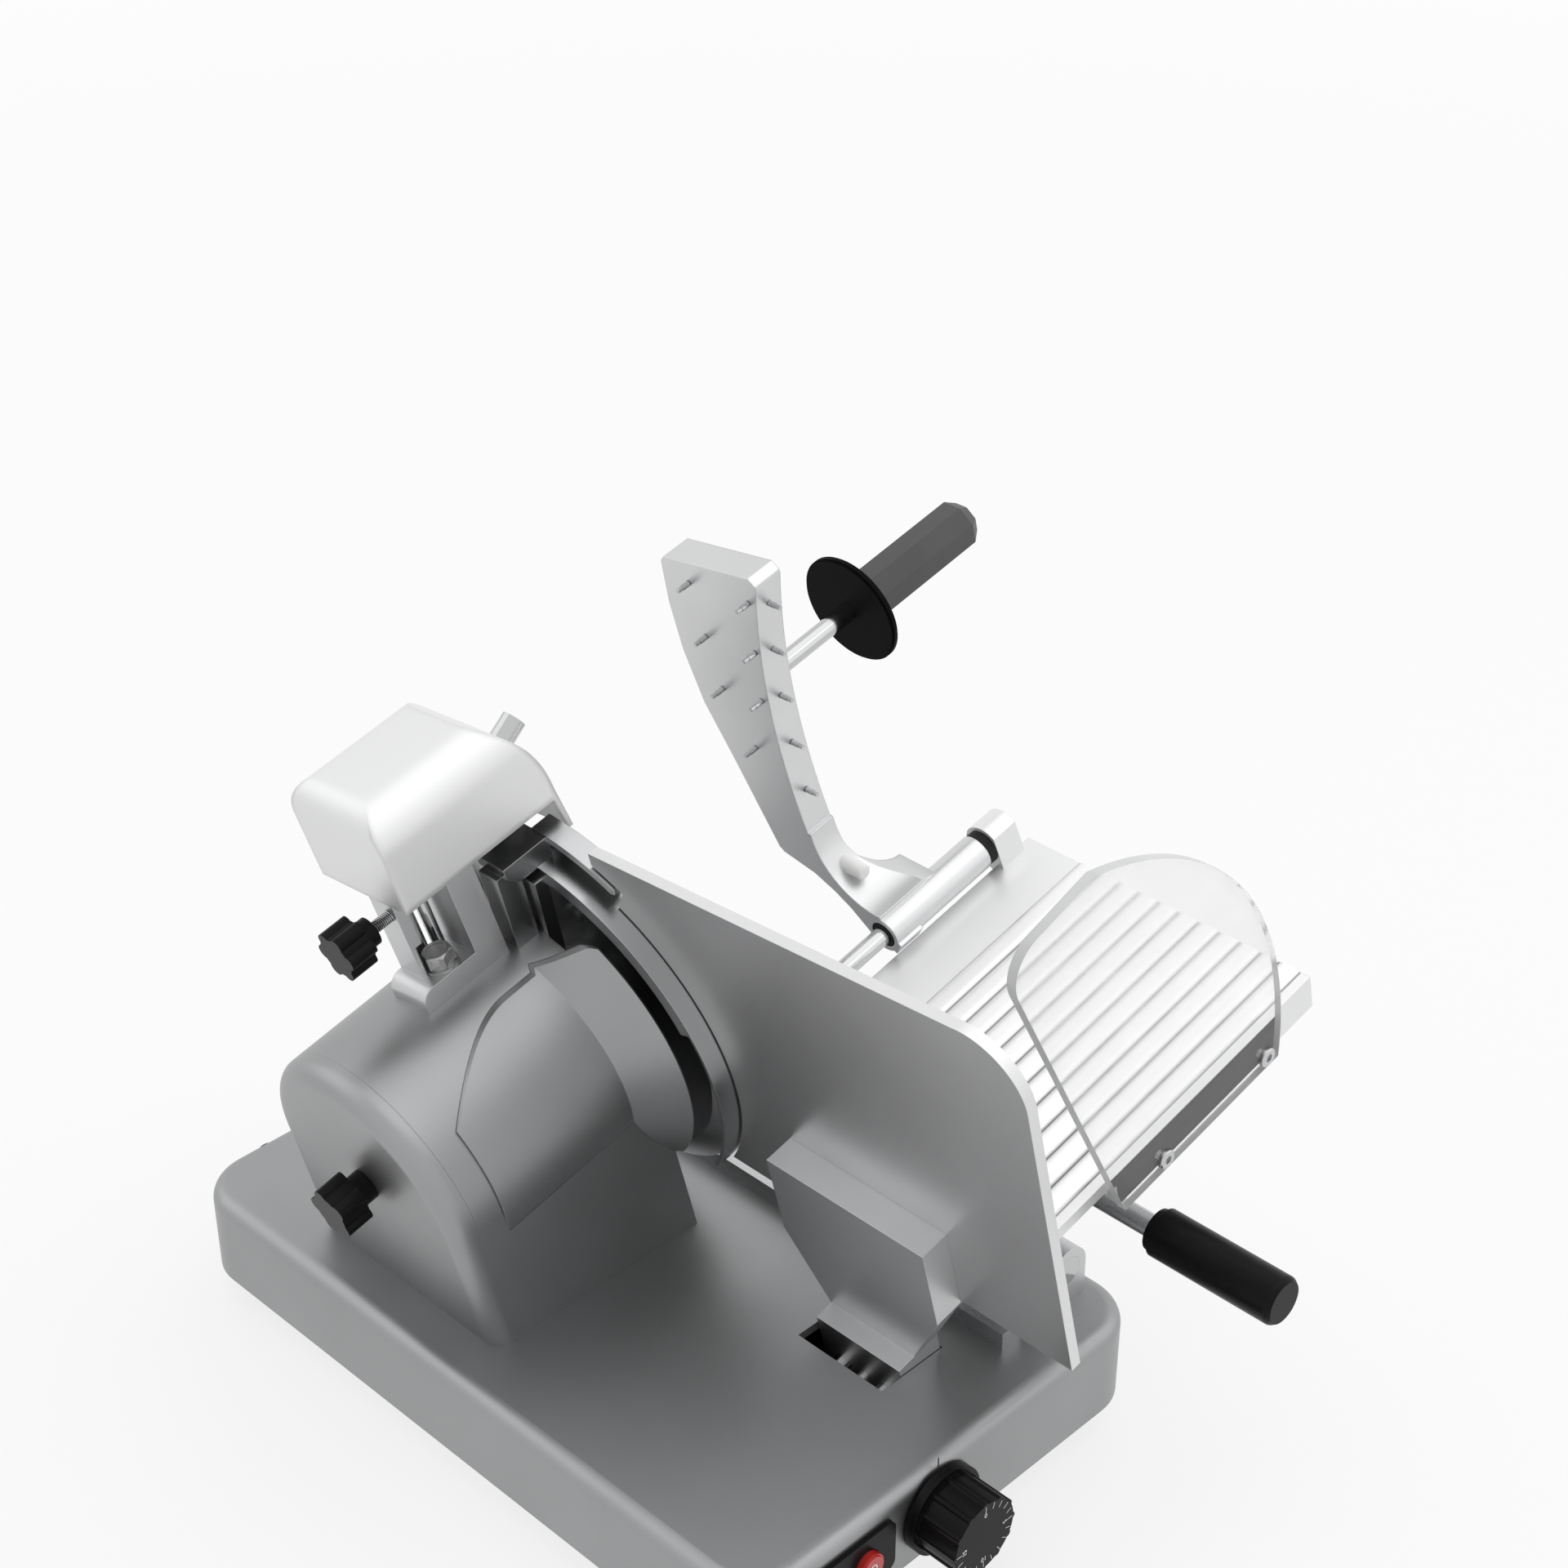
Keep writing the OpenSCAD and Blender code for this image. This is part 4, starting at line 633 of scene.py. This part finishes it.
# Bush flush in the pusher's eye: a tube, so the two end faces of its rings are left out
BUSH_AT = tilted(135.3, -117, 2)
BUSH_IN, BUSH_OUT, BUSH_LEN = 0.00605, 0.009, 0.0855
bush = [(BUSH_IN, 0.0), (BUSH_OUT, 0.0), (BUSH_OUT, BUSH_LEN), (BUSH_IN, BUSH_LEN), (BUSH_IN, 0.0)]
tube, sides = rings(BUSH_AT, ALONG_N, bush, 64)
piece("bush_tube", tube, sides[:-2], "pusher_bush", "black_rubber", RUBBER,
      smooth=40, replaces="pusher_bush")

# Thread of the sharpener's clamp knob
THREAD_AT = sharpened(-115.5, 1, 139)
THREAD_R, THREAD_LEN, THREAD_PITCH, THREAD_DEPTH = 0.0039, 0.0145, 0.00125, 0.0006
piece("star_thread", *thread(THREAD_AT, ALONG_N, THREAD_R, THREAD_LEN, THREAD_PITCH, THREAD_DEPTH),
      "star_knob", "plain_steel", PIN, smooth=30)

# Hexagon head of the sharpener's bolt, on its washers, with a shallow dish in its top
BOLT_AT = sharpened(-87, -6, 98.4)
BOLT_UP = sharpened(0, 0, 1) - sharpened(0, 0, 0)
BOLT_CORNER, BOLT_ROUND, BOLT_H = 0.0098, 0.0083, 0.007
BOLT_FLAT = BOLT_CORNER * math.cos(math.pi / 6)
BOLT_SIDE, BOLT_DISH = 0.0066, 0.0067
bolt = [(BOLT_CORNER, 0), (BOLT_CORNER, BOLT_SIDE), (BOLT_ROUND, BOLT_H),
        (0.006, BOLT_H), (0.0056, BOLT_DISH), (0.001, BOLT_DISH)]
piece("bolt_head", *rings(BOLT_AT, BOLT_UP, bolt, 72, hex_shape(BOLT_FLAT, BOLT_ROUND)),
      "frame", "plain_steel", ZINC, smooth=25, replaces="sharpener_bolt")

# Heads of the guard's screws
NEAR_Y = Vector((0, -1, 0))
GUARD_SCREW_AT = [tilted(n, -346, -26) for n in (112, 205)]
SCREW_R, SCREW_H, SCREW_SOCKET = 0.006, 0.003, 0.0024
heads = [socket_screw(at, NEAR_Y, SCREW_R, SCREW_H, SCREW_SOCKET) for at in GUARD_SCREW_AT]
piece("guard_screw_heads", *joined(heads), "carriage", "plain_steel", STEEL,
      smooth=30, replaces="guard_screws")

# Figures of the dial, with a stroke for each millimetre and a number for every fifth
RIGHT, UP = Vector((1, 0, 0)), Vector((0, 0, 1))
DIAL_AT = Vector((-0.044, -0.3605, 0.050)) - CENTRE
DIAL_SIZE, DIAL_NUMBER_R, DIAL_STROKE_R = 0.0046, 0.0165, 0.0212
DIAL_MM, DIAL_STEP, DIAL_NUMBERED = 15, 18, 5
figures = []
for i in range(DIAL_MM + 1):
    a = math.radians(90 - DIAL_STEP * i)
    ray = Vector((math.cos(a), math.sin(a)))
    if i % DIAL_NUMBERED == 0:
        figures.append((str(i), *(ray * DIAL_NUMBER_R), a - math.pi / 2))
    figures.append(("|", *(ray * DIAL_STROKE_R), a - math.pi / 2))
lettering("dial_figures", figures, DIAL_SIZE, DIAL_AT, RIGHT, UP,
          "dial", "white_nylon", WHITE_PRINT)

# Marks of the buttons, and the dial's pointer on the base
BUTTON_SIZE = 0.008
ON_AT = Vector((-0.136, -0.333, 0.05)) - CENTRE
OFF_AT = Vector((-0.104, -0.333, 0.05)) - CENTRE
POINTER_AT = Vector((-0.044, -0.325, 0.05)) - CENTRE
POINTER_SIZE, POINTER_UP = 0.007, 0.0325
lettering("on_mark", [("I", 0, 0, 0)], BUTTON_SIZE, ON_AT, RIGHT, UP,
          "on_button", "white_nylon", WHITE_PRINT)
lettering("off_mark", [("O", 0, 0, 0)], BUTTON_SIZE, OFF_AT, RIGHT, UP,
          "off_button", "white_nylon", WHITE_PRINT)
lettering("dial_pointer", [("|", 0, POINTER_UP, 0)], POINTER_SIZE, POINTER_AT, RIGHT, UP,
          "frame", "black_plastic", BLACK)


# Camera, floor and light

CAMERA_AT = Vector((-0.966704, -0.953295, 1.223739))
CAMERA_RIGHT = Vector((0.70268, -0.71152, 0.0))
CAMERA_FORWARD = Vector((0.60733, 0.60015, -0.52056))
CAMERA_UP = CAMERA_RIGHT.cross(CAMERA_FORWARD)
SENSOR_MM, LENS_MM, SIGHT_M = 36, 65.625, 50
camera = bpy.data.objects.new("camera", bpy.data.cameras.new("camera"))
camera.data.sensor_width = SENSOR_MM
camera.data.lens = LENS_MM
camera.data.clip_end = SIGHT_M
turned = Matrix((CAMERA_RIGHT, CAMERA_UP, -CAMERA_FORWARD)).transposed().to_4x4()
camera.matrix_world = Matrix.Translation(CAMERA_AT) @ turned
scene.collection.objects.link(camera)
scene.camera = camera


def seen(tree):
    """1 for rays from the camera, off metal or through the guard, and 0 for the light itself."""
    path = tree.nodes.new("ShaderNodeLightPath")
    value = path.outputs["Is Camera Ray"]
    for kind in ("Is Glossy Ray", "Is Transmission Ray"):
        either = tree.nodes.new("ShaderNodeMath")
        either.operation = "MAXIMUM"
        tree.links.new(value, either.inputs[0])
        tree.links.new(path.outputs[kind], either.inputs[1])
        value = either.outputs[0]
    return value


def smooth_step(tree, value, start, end):
    """A number that goes smoothly from start to end, each a (value, result) pair."""
    node = tree.nodes.new("ShaderNodeMapRange")
    node.interpolation_type = "SMOOTHSTEP"
    node.inputs["From Min"].default_value, node.inputs["To Min"].default_value = start
    node.inputs["From Max"].default_value, node.inputs["To Max"].default_value = end
    tree.links.new(value, node.inputs["Value"])
    return node.outputs["Result"]


def mixed(tree, share, first, second, output):
    """Two shaders mixed by a share, linked to the tree's output."""
    mix = tree.nodes.new("ShaderNodeMixShader")
    tree.links.new(share, mix.inputs["Fac"])
    tree.links.new(first.outputs[0], mix.inputs[1])
    tree.links.new(second.outputs[0], mix.inputs[2])
    tree.links.new(mix.outputs[0], tree.nodes[output].inputs["Surface"])


# Direction of the backdrop, and the cosines to it between which the light grows
BACKDROP = (0.62, 0.62, 0.48)
DIM_BELOW, FULL_ABOVE = -0.5, 0.6


def white_world(low, high):
    """White where it is seen; as a light it is softer, and grows towards the backdrop."""
    world = bpy.data.worlds.new("studio")
    world.use_nodes = True
    tree = world.node_tree
    shown = tree.nodes["Background"]
    shown.inputs["Color"].default_value = (1, 1, 1, 1)
    shown.inputs["Strength"].default_value = 1
    light = tree.nodes.new("ShaderNodeBackground")
    light.inputs["Color"].default_value = (1, 1, 1, 1)
    towards = tree.nodes.new("ShaderNodeVectorMath")
    towards.operation = "DOT_PRODUCT"
    towards.inputs[1].default_value = BACKDROP
    tree.links.new(tree.nodes.new("ShaderNodeTexCoord").outputs["Generated"], towards.inputs[0])
    strength = smooth_step(tree, towards.outputs["Value"], (DIM_BELOW, low), (FULL_ABOVE, high))
    tree.links.new(strength, light.inputs["Strength"])
    mixed(tree, seen(tree), light, shown, "World Output")
    scene.world = world


def floor(radius, white, fade, grey=0.86, rough=0.9, count=96):
    """A round pale floor that keeps the shadow and turns into the white backdrop far away."""
    mesh = bpy.data.meshes.new("floor")
    turns = [i * math.tau / count for i in range(count)]
    ring = [(radius * math.cos(a), radius * math.sin(a), 0) for a in turns]
    mesh.from_pydata(ring, [], [list(range(count))])
    obj = bpy.data.objects.new("floor", mesh)
    scene.collection.objects.link(obj)
    material = bpy.data.materials.new("floor")
    material.use_nodes = True
    tree = material.node_tree
    shader = tree.nodes["Principled BSDF"]
    shader.inputs["Base Color"].default_value = (grey, grey, grey, 1)
    shader.inputs["Roughness"].default_value = rough
    glow = tree.nodes.new("ShaderNodeEmission")
    glow.inputs["Strength"].default_value = 1
    share = tree.nodes.new("ShaderNodeMath")
    share.operation = "MULTIPLY"
    away = tree.nodes.new("ShaderNodeVectorMath")
    away.operation = "LENGTH"
    tree.links.new(tree.nodes.new("ShaderNodeNewGeometry").outputs["Position"], away.inputs[0])
    tree.links.new(seen(tree), share.inputs[0])
    far = smooth_step(tree, away.outputs["Value"], (fade[0], white), (fade[1], 1))
    tree.links.new(far, share.inputs[1])
    mixed(tree, share.outputs[0], shader, glow, "Material Output")
    mesh.materials.append(material)


def softbox(name, at, to, size, power):
    """A square lamp that faces a point."""
    lamp = bpy.data.lights.new(name, "AREA")
    lamp.size = size
    lamp.energy = power
    obj = bpy.data.objects.new(name, lamp)
    obj.location = at
    obj.rotation_euler = (Vector(to) - Vector(at)).to_track_quat("-Z", "Y").to_euler()
    scene.collection.objects.link(obj)


WORLD_LOW, WORLD_HIGH = 0.48, 0.90
FLOOR_R, FLOOR_WHITE, FLOOR_FADE = 7.0, 0.75, (0.7, 4.5)
# The point all lamps face; each lamp's place and width in metres and its power in watts
MIDDLE = (0.0, 0.0, 0.3)
LAMPS = {
    "top_light": ((0.5, -0.3, 2.6), 2.8, 15),
    "side_light": ((1.9, -1.6, 1.7), 2.8, 10),
    "back_light": ((-1.2, 2.0, 1.8), 2.2, 7),
}
white_world(WORLD_LOW, WORLD_HIGH)
floor(FLOOR_R, FLOOR_WHITE, FLOOR_FADE)
for name, (at, size, power) in LAMPS.items():
    softbox(name, at, MIDDLE, size, power)

scene.view_settings.view_transform = "Standard"
